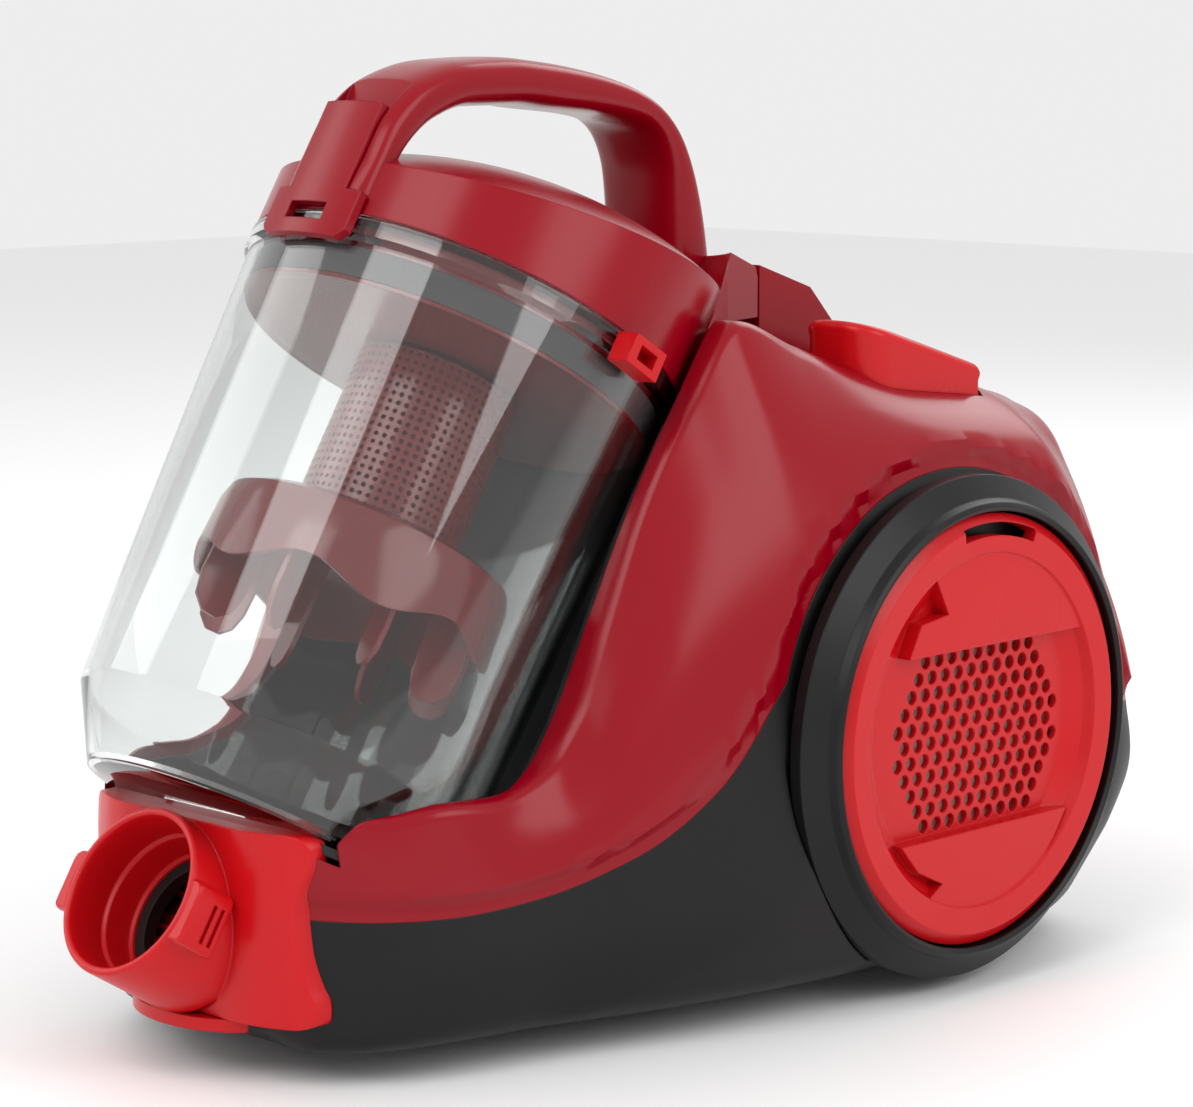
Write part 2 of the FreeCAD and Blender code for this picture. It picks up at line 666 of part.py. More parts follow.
def make_filter_cover():
    """Round exhaust cover: grille of staggered holes, two pocketed grips and a slot."""
    dish = cover_frame("cover")
    top_bar = [(-40, 29), (54, 29), (50, 36), (43, 42), (43, 56), (28, 61), (-10, 61),
               (-27, 55), (-20, 42), (-34, 40)]
    low_bar = [(-43, -34), (47, -34), (40, -44), (34, -50), (37, -57), (12, -62), (-12, -62),
               (-33, -57), (-21, -50), (-34, -44)]
    bars = []
    for name, points in (("top_bar", top_bar), ("low_bar", low_bar)):
        turned_points = [(-z, y) for y, z in points]
        bars.append(pocket_prism(name, turned_points, -9, -1.5))
    solid = fuse("cover_solid", dish, *bars)
    holes = []
    pitch = float(S.grille_pitch)
    row_gap = pitch * math.sqrt(3) / 2 * 0.93
    for row in range(-5, 6):
        v = row * row_gap - 2.5
        reach = 43 - max(0, abs(v + 2) - 12) * 0.62
        offset = pitch / 2 if row % 2 else 0
        for k in range(-7, 9):
            h = k * pitch + offset
            if -reach + 4 <= h <= reach + 4:
                holes.append(Part.makeCylinder(float(S.grille_hole), 20, Vector(-v, h, -15)))
    slot = Part.makeCylinder(71, 20, Vector(0, 0, -15)).cut(
        Part.makeCylinder(66.5, 20, Vector(0, 0, -15)))
    wedge = [(-80, -16), (-80, 30), (-60, 23), (-60, -12)]
    holes.append(slot.common(prism_z(wedge, -15, 5)))
    cutter = doc.addObject("Part::Feature", "cover_holes")
    cutter.Shape = Part.makeCompound(holes)
    cover = cut("exhaust_cover", solid, cutter)
    return sub_part(around_x(cover, 1, S.cover_face_x), "exhaust_filter_cover")


def make_left_cover():
    """Plain dished cover on the cord reel's side."""
    cover = cover_frame("left")
    return sub_part(around_x(cover, -1, -S.cover_face_x), "left_side_cover")


def make_exhaust_filter():
    """Round pleated filter in a plastic rim, behind the exhaust cover."""
    outer = float(S.cup_radius - S.ring_wall) - 0.6
    frame = Part.makeCylinder(outer, float(S.filter_thick)).cut(
        Part.makeCylinder(outer - 3, float(S.filter_thick)))
    count = 17
    step = 2 * (outer - 3) / count
    low, high = 3, float(S.filter_thick) - 3
    upper = [(-outer + 3 + k * step / 2, high if k % 2 else low) for k in range(2 * count + 1)]
    lower = [(x, z - 1.5) for x, z in reversed(upper)]
    zigzag = Part.makePolygon([Vector(x, -outer, z) for x, z in upper + lower + upper[:1]])
    pleats = Part.Face(zigzag).extrude(Vector(0, 2 * outer, 0))
    pleats = pleats.common(Part.makeCylinder(outer - 2.9, float(S.filter_thick)))
    thing = doc.addObject("Part::Feature", "filter_media")
    thing.Shape = frame.fuse(pleats)
    x = S.cover_face_x - S.ring_depth + S.ring_wall
    return sub_part(around_x(thing, 1, x), "exhaust_filter")


for side, label in ((1, "side_ring_right"), (-1, "side_ring_left")):
    make_side_ring(side, label, side > 0)


# ---------------------------------------------------------------- container
def make_dust_tank():
    """Clear bucket with a stepped foot, a top flange and an inlet hole in its base."""
    wall, high = S.tank_wall, S.tank_height
    flange = S.tank_top_radius + S.tank_flange
    low_flange = high - S.tank_flange_height
    points = [(0, 0), (S.tank_foot_radius, 0), (S.tank_ring_radius, S.tank_ring_height),
              (S.tank_top_radius, low_flange), (flange, low_flange + 1), (flange, high),
              (S.tank_top_radius - wall, high), (S.tank_ring_radius - wall, S.tank_ring_height),
              (S.tank_foot_radius - wall, wall), (0, wall)]
    bucket = turned("bucket", points)
    hole = box("base_hole", 40, 24, 20, x=-20, y=-20, z=-5)
    return sub_part(place_on_tank(cut("tank", bucket, hole)), "dust_tank")


def make_tank_seal():
    """Grey rubber band round the separator's top, pressed against the container wall."""
    top = S.tank_height - S.seal_depth
    outer = S.tank_top_radius - S.tank_wall - 1.4
    band = tube("seal_band", outer, outer - 3, S.seal_height, z=top - S.seal_height)
    return sub_part(place_on_tank(band), "tank_seal")


def make_separator():
    """Flat ceiling of the separator with a rim that carries the seal."""
    outer = S.tank_top_radius - S.tank_wall - 1.4
    low = S.tank_height - S.ceiling_depth
    top = S.tank_height - 1
    inner = outer - 3.2
    points = [(S.mesh_radius - S.mesh_wall, low), (outer, low),
              (outer, S.tank_height - S.seal_depth - S.seal_height - 0.1),
              (inner, S.tank_height - S.seal_depth - S.seal_height - 0.1),
              (inner, top), (inner - 2.5, top), (inner - 2.5, low + S.ceiling_thick),
              (S.mesh_radius - S.mesh_wall, low + S.ceiling_thick)]
    return sub_part(place_on_tank(turned("ceiling", points)), "separator_plate")


def make_mesh():
    """Perforated cylinder that the cleaned air leaves through."""
    top = float(S.tank_height - S.ceiling_depth)
    low = top - float(S.mesh_length)
    radius = float(S.mesh_radius)
    wall = float(S.mesh_wall)
    shell = Part.makeCylinder(radius, top - low - 0.1, Vector(0, 0, low)).cut(
        Part.makeCylinder(radius - wall, top - low + 2, Vector(0, 0, low - 1)))
    holes = []
    for row in range(4):
        for k in range(12):
            turn = math.radians(30 * k + 15 * (row % 2))
            direction = Vector(math.cos(turn), math.sin(turn), 0)
            height = low + 12 + row * 11
            holes.append(Part.makeCylinder(float(S.mesh_hole), wall + 4,
                                           direction * (radius - wall - 2) + UP * height, direction))
    thing = doc.addObject("Part::Feature", "mesh")
    thing.Shape = shell.cut(holes)
    return sub_part(place_on_tank(thing), "mesh_cylinder")


def make_skirt():
    """Cone under the mesh with a drooping rim and hanging blades that slow the dust."""
    top = float(S.tank_height - S.ceiling_depth - S.mesh_length)
    rim, thick, drop = float(S.skirt_radius), float(S.skirt_thick), float(S.skirt_drop)
    disc = Part.makeCylinder(rim, thick, Vector(0, 0, top - thick - 0.1))
    band = Part.makeCylinder(rim, 18, Vector(0, 0, top - 18)).cut(
        Part.makeCylinder(rim - thick, 40, Vector(0, 0, top - 30)))
    shape = disc.fuse(band)
    count = int(float(S.blade_count))
    for k in range(count):
        turn = 360 * k / count + 30
        blade = block((14, -thick / 2, top - drop - 12), (rim - 3, thick / 2, top - thick))
        blade.rotate(Vector(0, 0, 0), UP, turn)
        lobe = Part.makeCylinder(rim, drop, Vector(0, 0, top - drop)).cut(
            Part.makeCylinder(rim - thick, drop + 2, Vector(0, 0, top - drop - 1)))
        wedge = block((0, -12, top - drop), (rim + 5, 12, top))
        wedge.rotate(Vector(0, 0, 0), UP, turn)
        shape = shape.fuse([blade, lobe.common(wedge)])
    thing = doc.addObject("Part::Feature", "skirt")
    thing.Shape = shape.removeSplitter()
    return sub_part(place_on_tank(thing), "separator_skirt")


def make_keeper():
    """Small hollow catch moulded of red plastic on the container's flange."""
    reach = S.tank_top_radius + S.tank_flange + 0.2
    low = S.tank_height - 11
    body = box("keeper_block", 9, 15, 10, x=reach, y=-5.5, z=low)
    space = box("keeper_space", 12, 8.5, 5, x=reach + 2.5, y=-2.2, z=low + 2.5)
    return sub_part(place_on_tank(cut("keeper", body, space)), "side_keeper")


make_dust_tank()
make_tank_seal()
make_separator()
make_mesh()
make_skirt()
make_keeper()


# ---------------------------------------------------------------- lid, neck, handle, latch
def lid_solid(inset):
    """The lid's outer form: the container's round, closed by a tilted crown."""
    radius = float(LID_REACH) - inset
    tilt = math.radians(float(S.lid_tilt))
    crown = float(S.lid_crown)
    reach = float(LID_REACH)
    ball = (reach ** 2 + crown ** 2) / (2 * crown)
    normal = Vector(0, -math.sin(tilt), math.cos(tilt))
    apex = Vector(0, 0, float(LID_BASE + S.lid_side)) + normal * crown
    sphere = Part.makeSphere(ball - inset, apex - normal * ball)
    low = float(LID_BASE) - (inset and 5)
    return Part.makeCylinder(radius, 90, Vector(0, 0, low)).common(sphere)


def neck_form(grow):
    """Neck of the lid: plan outline under a top that falls to the rear seam."""
    fall = math.tan(math.radians(float(S.neck_fall)))
    top = PIN_Z + 5 + grow
    front = SEAM_Y - 75
    side = [(front, NECK_LOW), (SEAM_Y, NECK_LOW), (SEAM_Y, PIN_Z + grow),
            (SEAM_Y - 1.6, PIN_Z + 3.6 + grow), (SEAM_Y - 5.5, top),
            (front, top + (SEAM_Y - 5.5 - front) * fall)]
    return prism_x(side, 90).common(prism_z(neck_outline(0), NECK_LOW, NECK_LOW + 90))


def make_lid():
    """Domed lid over the container, with the neck that carries its hinge barrel."""
    shell = to_world(lid_solid(0).cut(lid_solid(float(S.lid_wall))))
    block_out = tank_cylinder(LID_REACH, LID_BASE - 60, LID_BASE + 90)
    neck = neck_form(0).cut(block_out)
    below = tank_cylinder(120, LID_BASE - 120, LID_BASE)
    neck = neck.cut(below)
    shape = shell.fuse(neck)
    reach = float(S.neck_half_width) - 2.4
    hole = rod(float(S.pin_radius + S.pin_clearance), (-reach, PIN_Y, PIN_Z), (reach, PIN_Y, PIN_Z))
    slot = block((-10.6, PIN_Y - 22, NECK_LOW - 20), (10.6, SEAM_Y + 1, PIN_Z))
    slot = slot.cut(tank_cylinder(LID_REACH, LID_BASE - 60, LID_BASE + 90))
    eye = rod(float(S.pin_radius) + 2.15, (-10.6, PIN_Y, PIN_Z), (10.6, PIN_Y, PIN_Z))
    shape = shape.cut([hole, slot, eye, hinge_arm(0.4)])
    solids = sorted(shape.Solids, key=lambda solid: solid.Volume)
    return free_form(solids[-1], "lid")


def handle_side():
    """Side outlines of the carrying handle: outer arch and finger opening, in world Y, Z."""
    lid_y, lid_z = on_tank(0, LID_BASE + S.lid_side)
    rise = float(S.handle_rise) / 60
    outer = [(-75, 28), (-65, 43), (-50, 54), (-30, 59.2), (-10, 60), (9, 58.5),
             (38, 53.5), (57, 46.5), (71, 34.5), (80, 17.5), (85.6, -1), (89, -20)]
    inner = [(-58, 30), (-45, 39.5), (-27, 44), (-5, 44), (14, 41.5), (42, 39.5),
             (54, 36.5), (61, 29), (63.7, 21.5), (64.2, 9.5), (64.5, -8)]

    def move(pairs):
        return [Vector(0, lid_y + y, lid_z + z * rise) for y, z in pairs]

    return move(outer), move(inner)


def spline(points):
    curve = Part.BSplineCurve()
    curve.interpolate(points)
    return curve.toShape()


def make_handle():
    """Arched handle on the lid, hollow to the front above the latch."""
    outer, inner = handle_side()
    half = float(S.handle_half_width)
    front_low = Vector(0, *on_tank(-float(LID_REACH) - 3.5, LID_BASE + 7))
    foot_front = Vector(0, *on_tank(-float(LID_REACH) + 14, LID_BASE + 7))
    edges = [spline([front_low] + outer), Part.makeLine(outer[-1], inner[-1]),
             spline(inner[::-1] + [foot_front]), Part.makeLine(foot_front, front_low)]
    arch = Part.Face(Part.Wire(edges)).extrude(Vector(2 * half, 0, 0))
    arch.translate(Vector(-half, 0, 0))
    lid_body = to_world(lid_solid(0))
    arch = arch.cut([lid_body, neck_form(0)])
    groove = block((-float(S.groove_half_width), -90, float(LID_BASE) - 4),
                   (float(S.groove_half_width), -float(LID_REACH) + 4, float(LID_BASE) + 62))
    arch = arch.cut(to_world(groove))
    solids = sorted(arch.Solids, key=lambda solid: solid.Volume)
    return free_form(solids[-1], "handle")


def make_latch():
    """Front latch: a panel in the handle's groove with an apron over the flange."""
    inner = float(LID_REACH) + 1.0
    outer = inner + float(S.latch_thick)
    low = float(LID_BASE - S.latch_drop)
    ring = Part.makeCylinder(outer, 80, Vector(0, 0, low)).cut(
        Part.makeCylinder(inner, 90, Vector(0, 0, low - 5)))
    half, slim = float(S.latch_half_width), float(S.groove_half_width) - 0.6
    split = float(LID_BASE) + 6
    top = low + float(S.latch_height)
    face = [(-half + 3, low), (half - 3, low), (half, low + 3), (half, split), (slim, split),
            (slim, top), (-slim, top), (-slim, split), (-half, split), (-half, low + 3)]
    edge = Part.makePolygon([Vector(x, -outer - 5, z) for x, z in face + face[:1]])
    shape = Part.Face(edge).extrude(Vector(0, 40, 0)).common(ring)
    window = float(S.window_half_width)
    opening = block((-window, -90, low + 5.2), (window, -60, low + 11.2))
    thing = doc.addObject("Part::Feature", "latch_panel")
    thing.Shape = shape.cut(opening).Solids[0]
    return sub_part(place_on_tank(thing), "latch")


def make_hinge_pin():
    """Steel pin that joins the lid's neck to the container's hinge lug."""
    reach = float(S.neck_half_width) - 3
    return free_form(rod(S.pin_radius, (-reach, PIN_Y, PIN_Z), (reach, PIN_Y, PIN_Z)),
                     "hinge_pin")


def hinge_arm(grow):
    """Form of the bracket between the container's flange and the hinge pin."""
    half = 10 + grow
    eye_radius = float(S.pin_radius) + 2 + grow
    eye = rod(eye_radius, (-half, PIN_Y, PIN_Z), (half, PIN_Y, PIN_Z))
    reach = float(LID_REACH)
    low, high = float(S.tank_height) - 6, float(LID_BASE) + 52
    strap = tank_cylinder(reach + 3.5 + grow, low, high)
    strap = strap.cut(tank_cylinder(reach + 0.7, low - 5, high + 5))
    strap = strap.common(block((-half, -20, 100), (half, PIN_Y, PIN_Z - 2)))
    top_y, top_z = on_tank(reach + 2, high - 6)
    web = prism_x([(PIN_Y - eye_radius, PIN_Z), (PIN_Y + 1, PIN_Z - eye_radius),
                   (top_y + 3, top_z - 6), (top_y - 3, top_z + 2)], half)
    web = web.cut(tank_cylinder(reach + 0.7, low - 5, high + 40))
    return eye.fuse([strap, web])


def make_hinge_bracket():
    """Arm from the container's flange up to the hinge pin, between the neck's cheeks."""
    pin = rod(S.pin_radius, (-20, PIN_Y, PIN_Z), (20, PIN_Y, PIN_Z))
    return free_form(hinge_arm(0).cut(pin).removeSplitter(), "hinge_bracket")


# ---------------------------------------------------------------- wheels
def make_roller(side, name):
    """Rear roller with a hub bore, and the steel axle that it turns on."""
    half = S.roller_width / 2
    points = [(S.axle_radius + S.axle_clearance, -half), (S.roller_radius - 2, -half),
              (S.roller_radius, -half + 2), (S.roller_radius, half - 2),
              (S.roller_radius - 2, half), (S.axle_radius + S.axle_clearance, half)]
    wheel = turned(f"rear_roller_{name}", points)
    place(wheel, S.roller_x * side, S.roller_y, S.roller_radius, BACK, 90)
    sub_part(wheel, f"rear_roller_{name}")
    axle = cylinder(f"rear_axle_{name}", S.axle_radius, S.roller_width + 8)
    middle = S.roller_x * side - S.roller_width / 2 - 4
    place(axle, middle, S.roller_y, S.roller_radius, BACK, 90)
    sub_part(axle, f"rear_axle_{name}")


def make_caster():
    """Front caster: swivelling fork, wheel and axle."""
    radius, width = float(S.caster_radius), float(S.caster_width)
    y, centre_y = float(S.caster_y), CASTER_CENTRE.y
    plate_low = 2 * radius + 2
    fork = rod(CASTER_WELL - 4, (0, centre_y, plate_low), (0, centre_y, plate_low + 3.5))
    for side in (-1, 1):
        inner = side * (width / 2 + 0.8)
        outer = inner + side * 3
        cheek = block((min(inner, outer), y - 5, radius - 5),
                      (max(inner, outer), centre_y + 4, plate_low + 0.5))
        fork = fork.fuse(cheek)
    stem = rod(float(S.axle_radius) + 1, (0, centre_y, plate_low), (0, centre_y, CASTER_BOSS - 1))
    fork = fork.fuse(stem)
    reach = width / 2 + 6
    fork = fork.cut(rod(float(S.axle_radius), (-reach, y, radius), (reach, y, radius)))
    free_form(fork.removeSplitter(), "caster_fork")
    half = S.caster_width / 2
    points = [(S.axle_radius + S.axle_clearance, -half), (S.caster_radius - 1.5, -half),
              (S.caster_radius, -half + 1.5), (S.caster_radius, half - 1.5),
              (S.caster_radius - 1.5, half), (S.axle_radius + S.axle_clearance, half)]
    wheel = turned("caster_wheel", points)
    sub_part(place(wheel, 0, S.caster_y, S.caster_radius, BACK, 90), "caster_wheel")
    axle = cylinder("caster_axle", S.axle_radius, S.caster_width + 7.6)
    place(axle, -(S.caster_width + 7.6) / 2, S.caster_y, S.caster_radius, BACK, 90)
    sub_part(axle, "caster_axle")


# ---------------------------------------------------------------- motor
def along_x(thing, x):
    """Lay a piece drawn about Z along X, on the motor's axis."""
    return place(thing, x, S.side_y, S.side_z, BACK, 90)


def make_motor():
    """Motor can, its stator, the rotor with its fan, and two rubber rings that hold it."""
    can_radius, length = S.motor_radius, S.motor_length
    shaft, gap = S.shaft_radius, S.axle_clearance
    points = [(shaft + gap, 0), (can_radius, 0), (can_radius, length), (20, length),
              (20, length - 3), (can_radius - 3, length - 3), (can_radius - 3, 3),
              (shaft + gap, 3)]
    sub_part(along_x(turned("motor_can", points), S.motor_left_x), "motor_housing")
    stator = tube("stator_ring", can_radius - 3.5, 27, length - 50, z=8)
    sub_part(along_x(stator, S.motor_left_x), "motor_stator")
    top = length - 8
    points = [(0, -8), (shaft, -8), (shaft, 8), (25.5, 8), (25.5, length - 44), (shaft, length - 44),
              (shaft, length - 26), (can_radius - 6, length - 26), (can_radius - 6, length - 24),
              (16, top), (0, top)]
    sub_part(along_x(turned("rotor", points), S.motor_left_x), "motor_rotor")
    for label, x in (("motor_mount_left", 4), ("motor_mount_right", length - 16)):
        ring = tube(label + "_ring", can_radius + 6, can_radius, 12, z=x)
        sub_part(along_x(ring, S.motor_left_x), label)
    points = [(can_radius - 10, 0), (can_radius + 6, 0), (can_radius + 6, 4), (can_radius, 4),
              (can_radius, 3), (can_radius - 10, 3)]
    ring = turned("motor_gasket_ring", points)
    sub_part(along_x(ring, S.motor_left_x + length + 1), "motor_gasket")


# ---------------------------------------------------------------- cord reel
def make_reel():
    """Cord reel: spool with two cheeks, its bearing plate, flat spring and brake lever."""
    width, radius, hub = S.reel_width, S.reel_radius, S.reel_hub
    shaft, gap = S.shaft_radius, S.axle_clearance
    points = [(shaft + gap, 0), (radius, 0), (radius, 2), (hub, 2), (hub, width - 2),
              (radius, width - 2), (radius, width), (hub - 3, width), (hub - 3, 5),
              (shaft + gap, 5)]
    sub_part(along_x(turned("spool", points), S.reel_left_x), "reel_drum")
    points = [(0, -9), (hub + 14, -9), (hub + 14, -3), (hub + 8, -3), (hub + 8, -6), (shaft, -6),
              (shaft, width - 6), (0, width - 6)]
    sub_part(along_x(turned("reel_plate", points), S.reel_left_x), "reel_bearing_plate")
    ribbon = []
    turns = 5
    steps = turns * 24
    for side in (0, 0.5):
        spiral = [(6.5 + side + 12 * k / steps, 2 * math.pi * turns * k / steps)
                  for k in range(steps + 1)]
        ribbon.append([Vector(r * math.cos(a), r * math.sin(a), 8) for r, a in spiral])
    corners = ribbon[0] + ribbon[1][::-1]
    face = Part.Face(Part.makePolygon(corners + corners[:1]))
    thing = doc.addObject("Part::Feature", "flat_spring")
    thing.Shape = face.extrude(Vector(0, 0, float(width) - 14))
    sub_part(along_x(thing, S.reel_left_x), "reel_spring")
    y, z = float(S.side_y), float(S.side_z) + float(radius) + 4.6
    middle = float(S.reel_left_x) + float(width) / 2 + 3
    arm = block((middle - 4, y - 34, z + 3), (middle + 4, y + 6, z + 9))
    pad = rod(4, (middle - 8, y, z), (middle + 8, y, z))
    neck = block((middle - 4, y - 3, z), (middle + 4, y + 3, z + 5))
    pivot = rod(5, (middle - 7, y - 34, z + 6), (middle + 7, y - 34, z + 6))
    hole = rod(float(S.axle_radius + S.axle_clearance), (middle - 9, y - 34, z + 6),
               (middle + 9, y - 34, z + 6))
    lever = arm.fuse([pad, neck, pivot]).cut(hole)
    free_form(lever.removeSplitter(), "reel_brake_lever")
    pin = rod(S.axle_radius, (middle - 11, y - 34, z + 6), (middle + 11, y - 34, z + 6))
    cheeks = block((middle - 11, y - 39, z - 1), (middle - 7.5, y - 29, z + 12)).fuse(
        block((middle + 7.5, y - 39, z - 1), (middle + 11, y - 29, z + 12))).fuse(
        block((middle - 11, y - 42, z - 1), (middle + 11, y - 39.6, z + 12)))
    free_form(cheeks.fuse(pin).removeSplitter(), "brake_pivot")


# ---------------------------------------------------------------- switch, board, springs
def coil_spring(radius, height, wire, turns):
    """A coil of round wire, drawn as short straight lengths with six flat sides."""
    rings = []
    steps = 16 * turns
    for k in range(steps + 1):
        turn = 2 * math.pi * k / 16
        out = Vector(math.cos(turn), math.sin(turn), 0)
        middle = out * radius + UP * (height * k / steps)
        rings.append([middle + out * wire * math.cos(a) + UP * wire * math.sin(a)
                      for a in (math.pi * i / 3 for i in range(6))])

    def flat(*corners):
        return Part.Face(Part.makePolygon(list(corners) + [corners[0]]))

    faces = [flat(*rings[0]), flat(*rings[-1])]
    for low, high in zip(rings[:-1], rings[1:]):
        for i in range(6):
            after = (i + 1) % 6
            faces.append(flat(low[i], low[after], high[after]))
            faces.append(flat(low[i], high[after], high[i]))
    return Part.Solid(Part.makeShell(faces))


def make_pedal_springs():
    """Coil springs that lift the two pedals, each on the plunger's axis."""
    y = float(S.pedal_front_y) + float(S.pedal_length) * 0.5
    for side, name in ((1, "right"), (-1, "left")):
        thing = doc.addObject("Part::Feature", "coil_" + name)
        thing.Shape = coil_spring(float(S.plunger_radius) + 2.5, 14, 0.7, 4)
        place(thing, S.pedal_x * side, y, 176)
        sub_part(thing, f"pedal_spring_{name}")


def make_switch_and_board():
    """Power switch under the power pedal, the speed board beside it, and their bracket."""
    y = float(S.pedal_front_y) + float(S.pedal_length) * 0.5
    x = float(S.pedal_x)
    switch = block((x - 9, y - 12, 148), (x + 9, y + 12, 168))
    free_form(switch, "power_switch")
    shelf = block((x - 24, y - 22, 145.5), (x + 14, y + 24, 148))
    shelf = shelf.fuse(block((x - 24, y - 22, 138), (x - 21.5, y + 24, 146)))
    free_form(shelf.removeSplitter(), "switch_bracket")
    board = block((x - 20, y - 20, 170.5), (x - 11, y + 20, 172))
    parts = [block((x - 18, y - 16, 172), (x - 13, y - 8, 178)),
             block((x - 18, y + 2, 172), (x - 13, y + 12, 176))]
    legs = [rod(1.5, (x - 15.5, y + d, 148), (x - 15.5, y + d, 170.5)) for d in (-16, 16)]
    free_form(board.fuse(parts + legs).removeSplitter(), "control_board")


def outlet_duct_form(grow):
    """Outside of the duct under the spine cover, or with a negative value its inside."""
    front = SEAM_Y + float(S.seam_gap) + float(S.wall) + 0.6 - grow
    half = float(S.neck_half_width) - float(S.wall) - 1 + grow
    top = PIN_Z - 2 + grow
    back = front + 30 + 2 * grow
    low = 150 - (grow < 0) * 5
    side = [(front, low), (front, top), (front + 19, top - 7), (back, top - 22), (back, low)]
    return prism_x(side, half)


def make_outlet_duct():
    """Duct under the spine cover that carries the cleaned air down to the motor."""
    return free_form(outlet_duct_form(0).cut(outlet_duct_form(-2)), "outlet_duct")


def make_cord_outlet():
    """Rounded gland at the rear that the mains lead runs out of."""
    points = [(5, 0), (11, 0), (11, 1.2), (8.8, 1.2), (8.8, S.wall + 5), (5, S.wall + 5)]
    gland = turned("gland", points)
    return sub_part(place(gland, -30, S.rear_y, 70, RIGHT, 90), "cord_outlet")


def make_screws():
    """Six screws that hold the chassis to the upper shell, from underneath."""
    screws = []
    for x, y in SCREW_PLACES:
        low = float(S.underside) + 0.4
        head = rod(3.6, (x, y, low), (x, y, low + 2))
        shank = rod(1.5, (x, y, low + 1), (x, y, low + 16))
        screws.append(head.fuse(shank))
    return free_form(Part.makeCompound(screws), "chassis_screws")


for side, name in ((1, "right"), (-1, "left")):
    make_roller(side, name)
make_caster()
make_motor()
make_reel()
make_pedal_springs()
make_switch_and_board()
make_outlet_duct()
make_cord_outlet()
make_screws()


OUTSIDE_GROWN = envelope(-float(S.fit_gap))
make_chassis()
make_upper_shell()
make_spine_cover()
make_cradle_liner()
make_inlet_duct()
make_inlet_housing()
make_inlet_seal()
make_filter_cover()
make_left_cover()
make_exhaust_filter()
make_pedal(1, "power_pedal")
make_pedal(-1, "rewind_pedal")
make_lid()
make_handle()
make_latch()
make_hinge_pin()
make_hinge_bracket()


def write_sub_parts():
    """Recompute, check every object and write one STEP file for each sub-part."""
    doc.recompute()
    for thing in doc.Objects:
        if "Invalid" in thing.State or "Error" in thing.State:
            raise SystemExit(f"{thing.Label} failed: {thing.State}")
    os.makedirs("parts", exist_ok=True)
    for thing in SUB_PARTS:
        if thing.Shape.isNull() or not thing.Shape.isValid():
            raise SystemExit(f"{thing.Label} has no valid shape")
        thing.Shape.exportStep(f"parts/{thing.Label}.step")
        print(thing.Label, len(thing.Shape.Solids), round(thing.Shape.Volume / 1000, 2), "cm3")


write_sub_parts()
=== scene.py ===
import math

import bmesh
import bpy
import numpy as np
from mathutils import Matrix, Vector


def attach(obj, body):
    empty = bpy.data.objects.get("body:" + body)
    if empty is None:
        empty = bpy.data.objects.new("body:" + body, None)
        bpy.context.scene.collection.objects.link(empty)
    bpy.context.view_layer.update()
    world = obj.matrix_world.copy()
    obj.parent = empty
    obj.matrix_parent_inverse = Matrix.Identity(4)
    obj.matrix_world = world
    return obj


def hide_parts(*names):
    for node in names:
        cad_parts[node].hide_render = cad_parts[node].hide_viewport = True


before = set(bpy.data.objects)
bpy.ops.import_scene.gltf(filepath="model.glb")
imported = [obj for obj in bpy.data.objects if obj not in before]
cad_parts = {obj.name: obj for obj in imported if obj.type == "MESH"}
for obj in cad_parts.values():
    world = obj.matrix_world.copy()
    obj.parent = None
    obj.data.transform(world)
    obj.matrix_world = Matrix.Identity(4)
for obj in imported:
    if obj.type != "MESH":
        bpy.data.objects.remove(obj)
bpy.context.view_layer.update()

# ---------------------------------------------------------------- chassis and upper shell
# Two mouldings that close like a clam: a black ABS tub below, a deep red glossy ABS shell
# above. They meet on a sweeping line that runs into a circle round the side cover, and the
# red edge turns in over the black one with a narrow bevel.
MM = 0.001
SKIN_THICK = 2.6
RIM_HALF = 79.0
BULGE = 45.0
UNDERSIDE = 11.0
SIDE_Y, SIDE_Z = 87.5, 91.3
RING_RADIUS = 88.0
# along Y, shares of the bulge at sill, belly, shoulder and rim, then the four heights
STATIONS = (
    (-155, -0.85, -0.78, -0.78, -0.80, 45, 60, 78, 87),
    (-148, -0.64, -0.50, -0.50, -0.54, 42, 60, 78, 87.5),
    (-136, -0.34, -0.20, -0.22, -0.25, 40, 58, 76, 87.5),
    (-117, -0.16, 0.03, 0.00, -0.03, 39, 58, 76, 90),
    (-98, -0.06, 0.16, 0.10, 0.02, 39, 60, 76, 89.5),
    (-80, 0.02, 0.26, 0.19, 0.02, 39, 62, 80, 95),
    (-65, 0.13, 0.37, 0.28, 0.02, 39, 68, 92, 111),
    (-53, 0.21, 0.47, 0.34, 0.02, 39, 75, 112, 138),
    (-35, 0.34, 0.59, 0.45, 0.02, 39, 85, 135, 175),
    (-13, 0.46, 0.72, 0.53, 0.02, 39, 98, 158, 207),
    (11, 0.56, 0.83, 0.60, 0.02, 39, 110, 175, 232),
    (40, 0.65, 0.92, 0.65, 0.02, 39, 125, 182, 222.5),
    (87, 0.70, 0.97, 0.70, 0.02, 39, 140, 187, 208.5),
    (140, 0.62, 0.95, 0.66, 0.02, 42, 130, 183, 201),
    (167, 0.40, 0.93, 0.66, 0.14, 52, 100, 152, 190),
    (185, 0.13, 0.84, 0.62, -0.16, 62, 85, 118, 184),
    (193, -0.08, 0.66, 0.42, -0.38, 66, 80, 120, 183),
    (197.5, -0.36, 0.26, -0.02, -0.55, 68, 78, 125, 180),
)
# height of the block between the rear shoulders, along Y
TAIL_TOP = ((100, 0), (116, 0), (126, 3), (150, 3.5), (178, 9), (190, 6), (197.5, 0))


